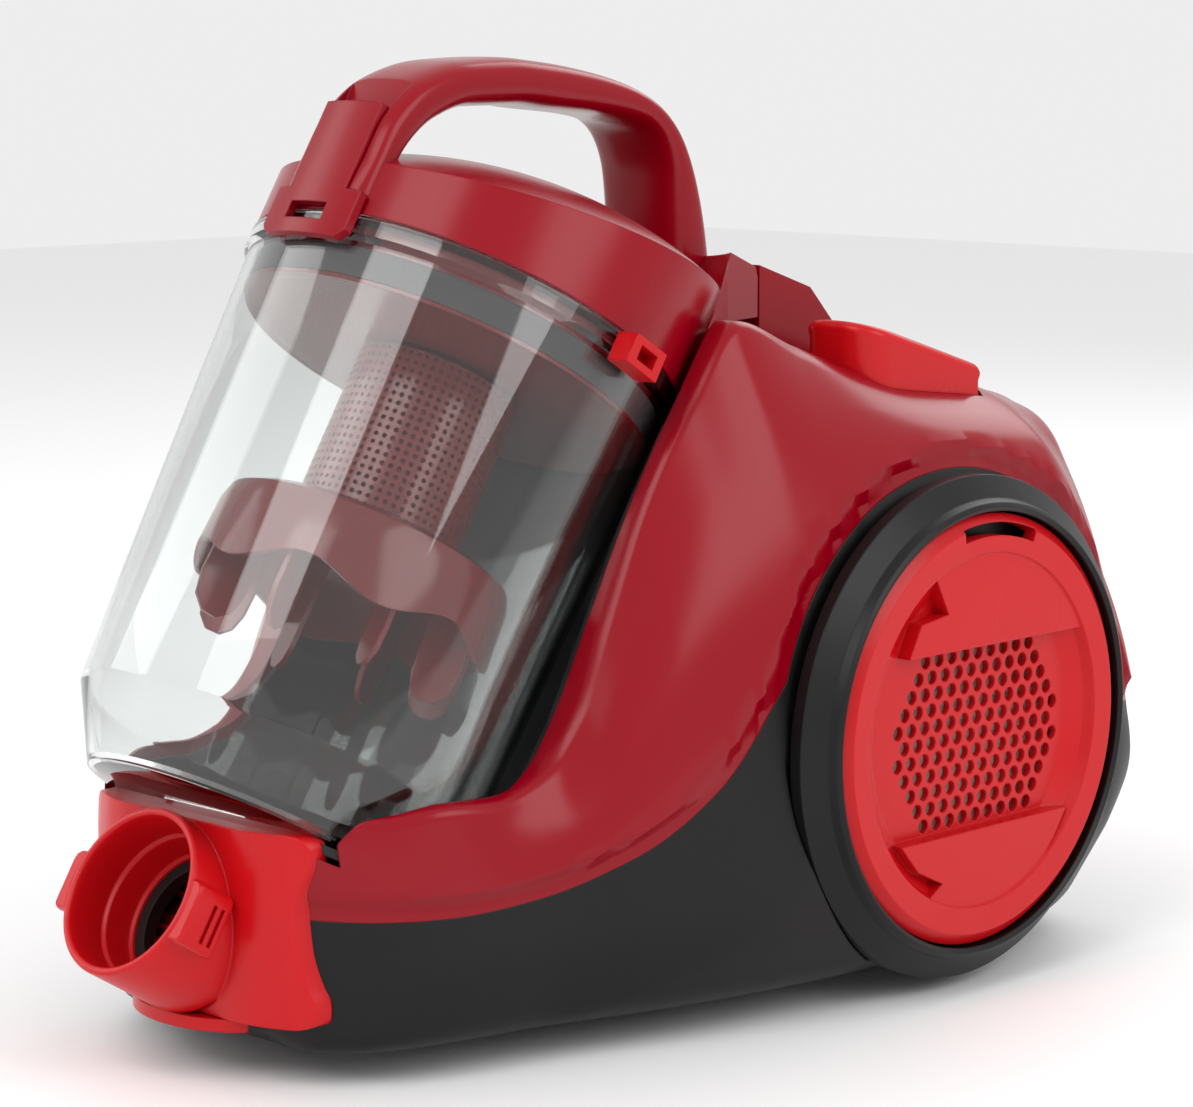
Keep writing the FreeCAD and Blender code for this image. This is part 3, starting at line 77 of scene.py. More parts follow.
def smooth_curve(knots, places):
    """Values of a curve through the knots that never swings past them."""
    x = np.array([k[0] for k in knots], float)
    y = np.array([k[1:] for k in knots], float)
    step = np.diff(x)[:, None]
    slope = np.diff(y, axis=0) / step
    tangent = np.zeros_like(y)
    same = slope[:-1] * slope[1:] > 0
    mean = 2 * slope[:-1] * slope[1:] / np.where(same, slope[:-1] + slope[1:], 1)
    tangent[1:-1] = np.where(same, mean, 0)
    tangent[0], tangent[-1] = slope[0], slope[-1]
    places = np.clip(places, x[0], x[-1])
    k = np.clip(np.searchsorted(x, places) - 1, 0, len(x) - 2)
    t = ((places - x[k]) / (x[k + 1] - x[k]))[:, None]
    h = step[k]
    return ((2 * t ** 3 - 3 * t ** 2 + 1) * y[k] + (t ** 3 - 2 * t ** 2 + t) * h * tangent[k]
            + (3 * t ** 2 - 2 * t ** 3) * y[k + 1] + (t ** 3 - t ** 2) * h * tangent[k + 1])


def rounded(corners, radii, counts, bend=8):
    """A line of straight runs whose corners are rounded off, with the same count each time."""
    points = [corners[0]]
    for k in range(1, len(corners)):
        before, here = corners[k - 1], corners[k]
        run = np.linalg.norm(here - before)
        steps = counts[k - 1]
        if k == len(corners) - 1:
            start = points[-1]
            points += [start + (here - start) * i / steps for i in range(1, steps + 1)]
            break
        after = corners[k + 1]
        reach = min(radii[k - 1], 0.48 * run, 0.48 * np.linalg.norm(after - here))
        enter = here + (before - here) / run * reach
        leave = here + (after - here) / np.linalg.norm(after - here) * reach
        start = points[-1]
        points += [start + (enter - start) * i / steps for i in range(1, steps + 1)]
        points += [(1 - t) ** 2 * enter + 2 * t * (1 - t) * here + t * t * leave
                   for t in (i / bend for i in range(1, bend + 1))]
    return points


def seam_line():
    """The line between black and red in Y and Z, from the front to the rear."""
    sweep = [(-215, 57.5), (-117, 54), (-85, 56.5), (-52, 66.5), (-23, 85)]
    join = math.radians(163)
    sweep.append((SIDE_Y + RING_RADIUS * math.cos(join), SIDE_Z + RING_RADIUS * math.sin(join)))
    places = np.linspace(-215, sweep[-1][0], 60)
    line = [(y, float(z)) for y, z in zip(places, smooth_curve(sweep, places)[:, 0])]
    for angle in np.linspace(163, -3, 90)[1:]:
        turn = math.radians(angle)
        line.append((SIDE_Y + RING_RADIUS * math.cos(turn),
                     SIDE_Z + RING_RADIUS * math.sin(turn)))
    return line + [(230, line[-1][1])]


def seam_distance(points):
    """Distance in Y and Z from the seam, positive on the red side."""
    line = np.array(seam_line())
    flat = points[:, 1:3]
    best = np.full(len(flat), 1e9)
    for a, b in zip(line[:-1], line[1:]):
        run = b - a
        t = np.clip(((flat - a) @ run) / (run @ run), 0, 1)
        best = np.minimum(best, np.linalg.norm(flat - a - t[:, None] * run, axis=1))
    above = flat[:, 1] > np.interp(flat[:, 0], line[:60, 0], line[:60, 1])
    in_ring = np.hypot(flat[:, 0] - SIDE_Y, flat[:, 1] - SIDE_Z) < RING_RADIUS
    behind = (flat[:, 0] > line[59, 0]) & ~in_ring & (flat[:, 1] > line[-1, 1])
    red = np.where(flat[:, 0] > line[59, 0], behind, above)
    return np.where(red, best, -best)


def casing_grid(inset, bevel):
    """Points of the closed casing form, section by section along Y."""
    places = np.unique(np.concatenate([np.linspace(-155, 197.5, 190),
                                       np.linspace(178, 197.5, 14)]))
    shares = smooth_curve(STATIONS, places)
    tail = smooth_curve(TAIL_TOP, places)[:, 0]
    rows = []
    for y, share, lift in zip(places, shares, tail):
        sill, belly, shoulder, rim, waist_z, belly_z, shoulder_z, rim_z = share
        end_lift = 6 * max(0, 1 - (y + 155) / 7) + 14 * max(0, (y - 193) / 4.5)
        floor_z = UNDERSIDE + end_lift + inset
        half = [(0, floor_z), (RIM_HALF + BULGE * sill - inset, floor_z),
                (RIM_HALF + BULGE * belly - inset, waist_z + inset / 2),
                (RIM_HALF + BULGE * belly - inset, belly_z - inset / 2),
                (RIM_HALF + BULGE * shoulder - inset, shoulder_z - inset),
                (RIM_HALF + BULGE * rim - inset, rim_z - inset * 1.5),
                (min(57.0, RIM_HALF + BULGE * rim - inset - 6), rim_z + lift - inset * 1.5),
                (0, rim_z + lift - inset * 1.5)]
        edge = 4 if y < 15 else 4 + min(8, (y - 15) * 0.1)
        line = rounded([np.array(p, float) for p in half], (9, 26, 40, 34, edge, 6),
                       (3, 8, 40, 26, 16, 4, 3))
        place = min(max(y, -155 + inset), 197.5 - inset)
        rows.append([(x, place, z) for x, z in line]
                    + [(-x, place, z) for x, z in line[-2:0:-1]])
    points = np.array(rows).reshape(-1, 3)
    if bevel:
        gap = seam_distance(points)
        depth = np.where(gap > 0, 4.5 * np.clip(1 - (gap - 3.5) / 5, 0, 1),
                         4.5 * np.clip(1 + (gap + 4) / 40, 0, 1))
        side = np.abs(points[:, 0]) > 50
        points[:, 0] -= np.sign(points[:, 0]) * depth * side
    return points, len(rows), len(rows[0])


def add_piece(name, points, faces, angle=32):
    """A mesh piece from points in millimetres, smooth except at edges sharper than angle."""
    mesh = bpy.data.meshes.new(name)
    mesh.from_pydata([Vector(p) * MM for p in points], [], faces)
    mesh.validate()
    piece = bpy.data.objects.new(name, mesh)
    bpy.context.scene.collection.objects.link(piece)
    soften(piece, angle)
    return piece


def soften(piece, angle=32):
    """Shade smooth, keeping edges sharper than angle."""
    piece.data.shade_smooth()
    piece.data.set_sharp_from_angle(angle=math.radians(angle))


def tube_faces(rows, around, flip=False):
    """Faces of a closed grid of rings with a flat cap at both ends."""
    faces = [(r * around + k, r * around + (k + 1) % around,
              (r + 1) * around + (k + 1) % around, (r + 1) * around + k)
             for r in range(rows - 1) for k in range(around)]
    faces.append(tuple(range(around))[::-1])
    faces.append(tuple((rows - 1) * around + k for k in range(around)))
    return [f[::-1] for f in faces] if flip else faces


def casing_solid(name):
    """The casing's skin as one closed wall."""
    outer, rows, around = casing_grid(0, True)
    inner, _, _ = casing_grid(SKIN_THICK + 5, False)
    faces = tube_faces(rows, around, True)
    faces += [tuple(i + len(outer) for i in f) for f in tube_faces(rows, around, False)]
    return add_piece(name, np.vstack([outer, inner]), faces)


def turned(name, profile, count=160, angle=32):
    """A piece turned about Z from (radius, height) points."""
    rows = [[(r * math.cos(2 * math.pi * k / count), r * math.sin(2 * math.pi * k / count), z)
             for k in range(count)] for r, z in profile]
    size = len(rows)
    points = [p for row in rows for p in row]
    faces = []
    for r in range(size):
        after = (r + 1) % size
        if profile[r][0] == 0 and profile[after][0] == 0:
            continue
        for k in range(count):
            turn = (k + 1) % count
            face = [r * count + k, r * count + turn, after * count + turn, after * count + k]
            faces.append(tuple(face))
    piece = add_piece(name, points, faces, angle)
    return weld(piece, angle)


def weld(piece, angle=32):
    """Join points that fall together, and face every side outward."""
    form = bmesh.new()
    form.from_mesh(piece.data)
    bmesh.ops.remove_doubles(form, verts=form.verts, dist=1e-6)
    bmesh.ops.dissolve_degenerate(form, edges=form.edges, dist=1e-7)
    bmesh.ops.recalc_face_normals(form, faces=form.faces)
    form.to_mesh(piece.data)
    form.free()
    soften(piece, angle)
    return piece


def prism(name, outline, low, high, axis="Z", angle=32):
    """A block over an outline, straight along one axis."""
    def place(u, v, w):
        return {"X": (w, u, v), "Y": (u, w, v), "Z": (u, v, w)}[axis]
    count = len(outline)
    points = [place(u, v, low) for u, v in outline] + [place(u, v, high) for u, v in outline]
    faces = [(k, (k + 1) % count, count + (k + 1) % count, count + k) for k in range(count)]
    faces += [tuple(range(count))[::-1], tuple(range(count, 2 * count))]
    return weld(add_piece(name, points, faces, angle), angle)


def moved(piece, turn=None, shift=(0, 0, 0)):
    """Turn and shift a piece's points, in millimetres."""
    matrix = Matrix.Translation(Vector(shift) * MM)
    if turn is not None:
        matrix = matrix @ turn.to_4x4()
    piece.data.transform(matrix)
    return piece


def carve(piece, tools, mode="DIFFERENCE", angle=32):
    """Cut the tools out of a piece, or keep only what they share, and delete them."""
    for tool in tools:
        step = piece.modifiers.new("cut", "BOOLEAN")
        step.operation, step.object, step.solver = mode, tool, "EXACT"
    view = bpy.context.evaluated_depsgraph_get()
    mesh = bpy.data.meshes.new_from_object(piece.evaluated_get(view))
    piece.modifiers.clear()
    piece.data = mesh
    for tool in tools:
        bpy.data.objects.remove(tool)
    soften(piece, angle)
    return piece


# the container's foot and lean, the hose mouth's centre and lean, and the wheel wells
FOOT = (0, -134.7, 72.2)
TO_TANK = Matrix.Rotation(math.radians(-31.6), 3, "X")
MOUTH = (0, -182.6, 61.5)
MOUTH_LEAN = 31.9
OUT_OF_MOUTH = Matrix.Rotation(math.radians(90 - MOUTH_LEAN), 3, "X")
ALONG_X = Matrix.Rotation(math.radians(90), 3, "Y")
CASTER_WELL = (0, -109, 0)
ROLLER_X, ROLLER_Y, ROLLER_Z = 98, 96, 12
GLAND = (-30, 197.5, 70)


def on_tank(piece):
    """Move a piece drawn upright at the origin onto the container's leaning axis."""
    return moved(piece, TO_TANK, FOOT)


def cradle_tool():
    """The space of the container's seat in the casing."""
    return on_tank(turned("cradle", [(0, -6), (59.5, -6), (59.5, 0), (72.5, 24.7),
                                     (80.3, 38.7), (80.3, 275), (0, 275)]))


def inlet_tool(radius):
    """A cylinder along the hose inlet's axis."""
    tool = turned("inlet_path", [(0, -36), (radius, -36), (radius, 40), (0, 40)], 96)
    return moved(tool, OUT_OF_MOUTH, MOUTH)


def side_tool(side):
    """The round opening for a side ring."""
    tool = turned("side_bore", [(0, 110.6), (86.9, 110.6), (86.9, 170), (0, 170)], 160)
    return moved(tool, Matrix.Rotation(math.radians(90 * side), 3, "Y"), (0, SIDE_Y, SIDE_Z))


def seam_tool():
    """Everything under the seam, to split the casing into red and black."""
    line = seam_line()
    return prism("seam", line + [(230, -30), (-215, -30)], -200, 200, "X")


def neck_plan(grow):
    """Plan of the lid's rear neck, narrowing from the lid to the seam."""
    right = [(63.84 + grow, -36), (63.84 + grow, 23.3), (38 + grow, 50.9),
             (32 + grow, 72.93 + (0.8 if grow else 0))]
    return right + [(-x, y) for x, y in reversed(right)]


def pedal_plan(side, grow):
    """A foot pedal's plan: straight sides, rounded front, slanted rear."""
    right, left, front, back = 84 + grow, 50 - grow, 71 - grow, 137 + grow
    outline = []
    for cx, cy, a0 in ((left + 13, front + 13, 180), (right - 13, front + 13, 270)):
        outline += [(cx + 13 * math.cos(math.radians(a0 + a)),
                     cy + 13 * math.sin(math.radians(a0 + a))) for a in range(0, 91, 10)]
    outline += [(right, back - 5), (right - 5, back - 1), (left + 8, back), (left, back - 6)]
    return outline if side > 0 else [(-x, y) for x, y in reversed(outline)]


upper_shell = carve(casing_solid("red_upper_shell"), [
    seam_tool(), cradle_tool(), inlet_tool(28.7), side_tool(1), side_tool(-1),
    prism("neck_space", neck_plan(1.6), 224.5, 310),
    prism("pedal_space", pedal_plan(1, 0.8), 184, 260),
    prism("pedal_space", pedal_plan(-1, 0.8), 184, 260)])
chassis = carve(casing_solid("black_chassis"), [seam_tool()], "INTERSECT")
chassis = carve(chassis, [
    cradle_tool(), inlet_tool(28.7), side_tool(1), side_tool(-1),
    moved(turned("caster_well", [(0, 0), (23, 0), (23, 26.5), (0, 26.5)], 64),
          None, CASTER_WELL),
    moved(turned("roller_well", [(0, -8), (14.5, -8), (14.5, 8), (0, 8)], 64), ALONG_X,
          (ROLLER_X, ROLLER_Y, ROLLER_Z)),
    moved(turned("roller_well", [(0, -8), (14.5, -8), (14.5, 8), (0, 8)], 64), ALONG_X,
          (-ROLLER_X, ROLLER_Y, ROLLER_Z)),
    moved(turned("gland_bore", [(0, -20), (11.3, -20), (11.3, 5), (0, 5)], 64),
          Matrix.Rotation(math.radians(-90), 3, "X"), GLAND)])


def linear(code):
    """An sRGB hex colour as linear red, green, blue and alpha."""
    parts = [int(code[k:k + 2], 16) / 255 for k in (1, 3, 5)]
    return tuple(p / 12.92 if p <= 0.04045 else ((p + 0.055) / 1.055) ** 2.4
                 for p in parts) + (1.0,)


def new_material(name):
    """An empty material with a surface shader, ready for its settings."""
    material = bpy.data.materials.new(name)
    material.use_nodes = True
    return material, material.node_tree


def add_node(tree, kind, settings=None, sockets=None):
    """Add a node, set its properties, and fill or link its sockets."""
    node = tree.nodes.new(kind)
    for key, value in (settings or {}).items():
        setattr(node, key, value)
    for key, value in (sockets or {}).items():
        if isinstance(value, bpy.types.NodeSocket):
            tree.links.new(value, node.inputs[key])
        else:
            node.inputs[key].default_value = value
    return node


def finish_shader(tree, sockets):
    """Fill the material's own surface shader."""
    shader = tree.nodes["Principled BSDF"]
    for key, value in sockets.items():
        if isinstance(value, bpy.types.NodeSocket):
            tree.links.new(value, shader.inputs[key])
        else:
            shader.inputs[key].default_value = value


def paint(piece, material):
    """Give a piece one material."""
    piece.data.materials.clear()
    piece.data.materials.append(material)


def moulded_plastic(name, colour, roughness, shine, grain_mm, grain_depth, edge=0.8):
    """Injection-moulded ABS: edges softened by the mould, and a faint surface grain."""
    material, tree = new_material(name)
    place = add_node(tree, "ShaderNodeTexCoord").outputs["Object"]
    grain = add_node(tree, "ShaderNodeTexNoise",
                     sockets={"Vector": place, "Scale": 1000 / grain_mm, "Detail": 2.0})
    soft_edge = add_node(tree, "ShaderNodeBevel", {"samples": 6}, {"Radius": edge * MM})
    relief = add_node(tree, "ShaderNodeBump", None,
                      {"Height": grain.outputs["Fac"], "Normal": soft_edge.outputs["Normal"],
                       "Strength": 0.6, "Distance": grain_depth * MM})
    wear = add_node(tree, "ShaderNodeTexNoise",
                    sockets={"Vector": place, "Scale": 14.0, "Detail": 3.0})
    sheen = add_node(tree, "ShaderNodeMapRange", None,
                     {"Value": wear.outputs["Fac"], "To Min": roughness * 0.92,
                      "To Max": roughness * 1.08})
    finish_shader(tree, {"Base Color": linear(colour), "IOR": 1.52,
                         "Roughness": sheen.outputs["Result"], "Specular IOR Level": shine,
                         "Normal": relief.outputs["Normal"]})
    return material


# ABS from a polished mould: deep wine red with sharp, bright reflections
crimson_abs = moulded_plastic("polished_crimson_abs", "#8A0014", 0.22, 0.25, 2.5, 0.004)
# ABS from a spark-eroded mould: near black, with broad soft highlights
black_abs = moulded_plastic("satin_black_abs", "#080809", 0.40, 0.28, 0.7, 0.015)
paint(upper_shell, crimson_abs)
paint(chassis, black_abs)
for piece, node_name, slot_name in ((upper_shell, "upper_shell", "gloss_crimson"),
                                    (chassis, "chassis", "satin_black")):
    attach(piece, "casing")
    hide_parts(node_name)

# ---------------------------------------------------------------- bright red mouldings
# Hose inlet, exhaust cover, pedals and the small catch on the container: bright red ABS,
# moulded in a polished tool, clipped or screwed to the casing.
bright_abs = moulded_plastic("bright_red_abs", "#BE0C14", 0.28, 0.25, 2.5, 0.004)
CAD_FINISH = {
    bright_abs: "exhaust_filter_cover side_keeper",
    crimson_abs: "spine_cover lid handle latch",
    black_abs: "side_ring_right side_ring_left left_side_cover",
}

# ---------------------------------------------------------------- hose inlet
# One bright red ABS moulding clipped over the front: a stepped round socket for the hose, a
# housing on each side for the hose's bayonet catches, a plate that wraps the front with
# flared edges, and a lip at its base.
INTO_MOUTH = Matrix.Rotation(math.radians(-MOUTH_LEAN), 3, "X")
def join(piece, others, angle=32):
    """Add other pieces to a piece's mesh and delete them."""
    form = bmesh.new()
    form.from_mesh(piece.data)
    for other in others:
        form.from_mesh(other.data)
        bpy.data.objects.remove(other)
    form.to_mesh(piece.data)
    form.free()
    soften(piece, angle)
    return piece


PLATE_EDGE = ((21, 50), (21.8, 52.6), (23.5, 54.2), (27, 54.6), (34, 52.4), (46, 49.6),
              (57, 48.6), (65, 50), (72, 52.2), (77, 52.6), (80, 51), (81.4, 48.8), (82, 46))
PLATE_FRONT = ((0, -164), (26, -164), (35, -162.8), (44, -159.6), (50, -156.4), (56, -152.4))
rows = np.concatenate([np.linspace(21, 24, 7), np.linspace(25, 56.6, 16), [57.4],
                       np.linspace(59, 78, 10), np.linspace(79, 82, 7)])
plate_rings = []
for z, half in zip(rows, smooth_curve(PLATE_EDGE, rows)[:, 0]):
    xs = half * np.sin(np.linspace(-math.pi / 2, math.pi / 2, 61))
    ys = smooth_curve(PLATE_FRONT, np.abs(xs))[:, 0]
    ys += 0.9 * np.clip(1 - (half - np.abs(xs)) / 0.9, 0, 1) ** 2 + 0.07 * max(0, z - 57)
    plate_rings.append([(x, y, z) for x, y in zip(xs, ys)]
                       + [(x, y, z) for x, y in ((half, -146.5), (-half, -146.5))])
hose_inlet = weld(add_piece("hose_inlet", [p for ring in plate_rings for p in ring],
                            tube_faces(len(rows), len(plate_rings[0])), 30), 30)
socket = moved(turned("socket", [
    (28.2, -34), (28.2, -1.3), (27.9, -0.5), (27.3, -0.05), (26.3, 0), (25.6, -0.4),
    (25.3, -1.2), (25.2, -3), (25.2, -14.8), (24.6, -15.4), (23.9, -15.6), (23.7, -16.3),
    (23.7, -25), (23.3, -25.8), (22.2, -26.2), (22, -27), (22, -34)], 144, 30),
    OUT_OF_MOUTH, MOUTH)
lip_line = [(28 * math.cos(math.radians(a)), -158 - 12.3 * math.sin(math.radians(a)) ** 1.4)
            for a in range(0, 181, 6)]
lip = prism("base_lip", lip_line[::-1] + [(-28, -150), (28, -150)], 16.4, 20.6)
catches = []
for side in (-1, 1):
    outline = [(25, -11.5), (29.9, -11.5), (31, -11.1), (31.5, -10), (31.6, 5.5),
               (31, 7.6), (29.4, 8.8), (25, 9)]
    shaped = [(0.4, 0.93), (1.4, 0.985), (2.4, 1), (15, 1)]
    catches.append(moved(weld(add_piece("catch_housing", [
        (side * (25 + (x - 25) * share), y, z * share)
        for y, share in shaped for x, z in outline], tube_faces(4, 8), 30), 30),
        INTO_MOUTH, MOUTH))
hose_inlet = carve(hose_inlet, [inlet_tool(27.2)], angle=30)
catches = [carve(catch, [inlet_tool(27.2)], angle=30) for catch in catches]
slots = [prism("rib_slot", [(29.8, -8.5), (34, -8.5), (34, 4), (29.8, 4)],
               low, low + 1.5, "Y") for low in (8.2, 11.6)]
windows = [prism("catch_window", [(-34, z), (-23, z), (-23, z + 3.2), (-34, z + 3.2)],
                 4, 7.4, "Y") for z in (-8.6, -3.2, 2.2)]
for cutter in slots + windows:
    moved(cutter, INTO_MOUTH, MOUTH)
catches[1] = carve(catches[1], slots, angle=30)
catches[0] = carve(catches[0], windows, angle=30)
join(hose_inlet, [socket, lip] + catches, 30)
paint(hose_inlet, bright_abs)
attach(hose_inlet, "casing")
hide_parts("inlet_housing")

# ---------------------------------------------------------------- foot pedals
# Two bright red ABS pads, rounded in front and sloping down to the rear, each sprung in its
# own well of the upper shell. A raised symbol shows which one is power and which is rewind.
PEDAL_FALL = math.tan(math.radians(17))


def stack(name, rings, angle=32):
    """A closed piece through rings with the same number of points, from low to high."""
    size = len(rings[0])
    points = [p for ring in rings for p in ring]
    return weld(add_piece(name, points, tube_faces(len(rings), size), angle), angle)


def pedal_top(y):
    """Height of a pedal's sloping top."""
    return 229 - (y - 71) * PEDAL_FALL


def raised_band(line, width, height):
    """A raised band along a line on a pedal's sloping top."""
    left, right = [], []
    for k, (x, y) in enumerate(line):
        ahead = np.array(line[min(k + 1, len(line) - 1)]) - np.array(line[max(k - 1, 0)])
        side = np.array([-ahead[1], ahead[0]]) / np.linalg.norm(ahead) * width / 2
        left.append((x + side[0], y + side[1]))
        right.append((x - side[0], y - side[1]))
    outline = left + right[::-1]
    return stack("symbol", [[(x, y, pedal_top(y) - 1) for x, y in outline],
                            [(x, y, pedal_top(y) + height) for x, y in outline]])


def arc(middle_x, middle_y, radius, start, end, count=28):
    """Points on part of a circle, with the angles in degrees."""
    return [(middle_x + radius * math.cos(math.radians(start + (end - start) * k / count)),
             middle_y + radius * math.sin(math.radians(start + (end - start) * k / count)))
            for k in range(count + 1)]


for side, node_name in ((1, "power_pedal"), (-1, "rewind_pedal")):
    rings = []
    for grow, drop in ((-0.4, 40), (-0.4, 6), (0, 4), (0, 3.0), (-0.5, 1.6), (-1.4, 0.6),
                       (-2.8, 0.15), (-4.6, 0)):
        rings.append([(x, y, 190 if drop == 40 else pedal_top(y) - drop)
                      for x, y in pedal_plan(side, grow)])
    pad = stack(node_name + "_pad", rings, 50)
    if side > 0:
        symbol = [raised_band(arc(67, 100, 7, -55, 235), 1.6, 0.5),
                  raised_band([(67, 90), (67, 99)], 1.6, 0.5)]
    else:
        symbol = [raised_band(arc(-67, 102, 7, 0, 290), 1.6, 0.5),
                  raised_band([(-60, 102), (-57, 96)], 1.6, 0.5),
                  raised_band([(-60, 102), (-65, 97.5)], 1.6, 0.5)]
    join(pad, symbol)
    paint(pad, bright_abs)
    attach(pad, node_name)
    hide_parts(node_name)

# ---------------------------------------------------------------- dark inner mouldings
# The cup under the container, ducts, reel, motor can and small levers: dark grey unpainted
# polypropylene straight from the mould, with a dull even surface.
grey_pp = moulded_plastic("dull_grey_polypropylene", "#1E1E20", 0.52, 0.35, 0.9, 0.02, 0.5)
CAD_FINISH[grey_pp] = ("cradle_liner inlet_duct outlet_duct cord_outlet motor_housing "
                       "reel_drum reel_bearing_plate reel_brake_lever brake_pivot "
                       "switch_bracket power_switch hinge_bracket rear_roller_right "
                       "rear_roller_left caster_fork")
# circuit board laminate, green lacquer over glass fibre
board_lacquer = moulded_plastic("green_board_lacquer", "#1B4D2C", 0.35, 0.5, 2.0, 0.01, 0.3)
CAD_FINISH[board_lacquer] = "control_board"

# ---------------------------------------------------------------- rubber parts
# Seals, mounts and the caster tyre: moulded rubber, dull, with a slightly dusty sheen.
grey_rubber = moulded_plastic("grey_seal_rubber", "#5A5558", 0.6, 0.4, 1.2, 0.02, 0.5)
black_rubber = moulded_plastic("black_seal_rubber", "#0C0C0D", 0.55, 0.4, 1.2, 0.02, 0.5)
CAD_FINISH[grey_rubber] = "tank_seal"
CAD_FINISH[black_rubber] = ("inlet_seal motor_mount_left motor_mount_right motor_gasket "
                            "caster_wheel")

# ---------------------------------------------------------------- metal parts
# Axles, hinge pin, screws and springs in drawn steel, and a turned aluminium rotor.
steel, tree = new_material("drawn_steel")
place = add_node(tree, "ShaderNodeTexCoord").outputs["Object"]
draw_lines = add_node(tree, "ShaderNodeTexNoise", None,
                      {"Vector": place, "Scale": 900.0, "Detail": 1.0})
sheen = add_node(tree, "ShaderNodeMapRange", None,
                 {"Value": draw_lines.outputs["Fac"], "To Min": 0.24, "To Max": 0.36})
finish_shader(tree, {"Base Color": linear("#C8C8CA"), "Metallic": 1.0,
                     "Roughness": sheen.outputs["Result"]})
turned_aluminium, tree = new_material("turned_aluminium")
finish_shader(tree, {"Base Color": linear("#D6D7D9"), "Metallic": 1.0, "Roughness": 0.3})
CAD_FINISH[steel] = ("rear_axle_right rear_axle_left caster_axle hinge_pin chassis_screws "
                     "reel_spring pedal_spring_right pedal_spring_left motor_stator")
CAD_FINISH[turned_aluminium] = "motor_rotor"

# ---------------------------------------------------------------- exhaust filter
# Pleated white filter sheet, a needled felt of fine fibres, glued into a plastic rim.
filter_felt, tree = new_material("white_filter_felt")
place = add_node(tree, "ShaderNodeTexCoord").outputs["Object"]
fibres = add_node(tree, "ShaderNodeTexNoise", None,
                  {"Vector": place, "Scale": 1000 / 0.8, "Detail": 4.0})
nap = add_node(tree, "ShaderNodeBump", None,
               {"Height": fibres.outputs["Fac"], "Distance": 0.15 * MM, "Strength": 0.8})
finish_shader(tree, {"Base Color": linear("#E4E1DA"), "Roughness": 0.9, "IOR": 1.45,
                     "Normal": nap.outputs["Normal"]})
CAD_FINISH[filter_felt] = "exhaust_filter"

# ---------------------------------------------------------------- separator
# Dark red see-through polycarbonate: a flat ceiling, a perforated cylinder and a drooping
# skirt with hanging blades, which spin the dust out of the air.
red_clear, tree = new_material("smoky_red_polycarbonate")
soft_edge = add_node(tree, "ShaderNodeBevel", {"samples": 4}, {"Radius": 0.5 * MM})
finish_shader(tree, {"Base Color": linear("#A30C16"), "Roughness": 0.16, "IOR": 1.58,
                     "Transmission Weight": 0.35, "Normal": soft_edge.outputs["Normal"]})
CAD_FINISH[red_clear] = "separator_plate"


def perforated_tube(name, radius, thick, low, pitch, rows, columns, hole):
    """A tube whose wall has round holes on a square pattern."""
    points, faces = [], []
    ring = [(0.5, 0), (0.5, 0.5), (0, 0.5), (-0.5, 0.5), (-0.5, 0), (-0.5, -0.5), (0, -0.5),
            (0.5, -0.5)]
    bore = [(hole * math.cos(math.pi * k / 4), hole * math.sin(math.pi * k / 4))
            for k in range(8)]
    for row in range(rows):
        for column in range(columns):
            for wall in (radius, radius - thick):
                for u, v in ring + bore:
                    turn = 2 * math.pi * (column + u) / columns
                    points.append((wall * math.cos(turn), wall * math.sin(turn),
                                   low + (row + 0.5 + v) * pitch))
            first = len(points) - 32
            for k in range(8):
                after = (k + 1) % 8
                faces.append((first + k, first + after, first + 8 + after, first + 8 + k))
                faces.append((first + 16 + after, first + 16 + k, first + 24 + k,
                              first + 24 + after))
                faces.append((first + 8 + k, first + 8 + after, first + 24 + after,
                              first + 24 + k))
            for edge_row, edge in ((0, (5, 6, 7)), (rows - 1, (1, 2, 3))):
                if row == edge_row:
                    for a, b in zip(edge[:-1], edge[1:]):
                        faces.append((first + b, first + a, first + 16 + a, first + 16 + b))
    return weld(add_piece(name, points, faces), 40)


mesh_tube = on_tank(perforated_tube("perforated_tube", 28, 1.6, 106.5, 2.95, 19, 60, 0.27))


def skirt_wave(turn):
    """Height of the skirt's lower edge, round the axis."""
    return 78 + 3.5 * math.cos(6 * turn)


skirt_points, skirt_rings = [], []
for inset in (0, 2.0):
    shell_line = [(28 - inset, 106.4), (28 - inset, 105.6 - inset), (44 - inset, 104.5 - inset),
                  (49 - inset, 102 - inset), (50.5 - inset, 97 - inset), (51.5 - inset, None)]
    skirt_rings += shell_line if inset == 0 else shell_line[::-1]
count = 192
for radius, height in skirt_rings:
    for k in range(count):
        turn = 2 * math.pi * k / count
        z = skirt_wave(turn) if height is None else height
        skirt_points.append((radius * math.cos(turn), radius * math.sin(turn), z))
skirt_faces = [(r * count + k, r * count + (k + 1) % count,
                ((r + 1) % len(skirt_rings)) * count + (k + 1) % count,
                ((r + 1) % len(skirt_rings)) * count + k)
               for r in range(len(skirt_rings)) for k in range(count)]
skirt = weld(add_piece("drooping_skirt", skirt_points, skirt_faces), 40)
blade_side = [(30, 102.8), (47, 99.5), (48.3, 70), (47, 62), (43, 57.5), (38, 57), (34, 60),
              (32, 66)]
blades = [moved(prism("skirt_blade", blade_side, -0.9, 0.9, "Y"),
                Matrix.Rotation(math.radians(22.5 + 45 * k), 3, "Z")) for k in range(8)]
join(skirt, blades, 35)
on_tank(skirt)
for piece, node_name in ((mesh_tube, "mesh_cylinder"), (skirt, "separator_skirt")):
    paint(piece, red_clear)
    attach(piece, "container")
    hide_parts(node_name)

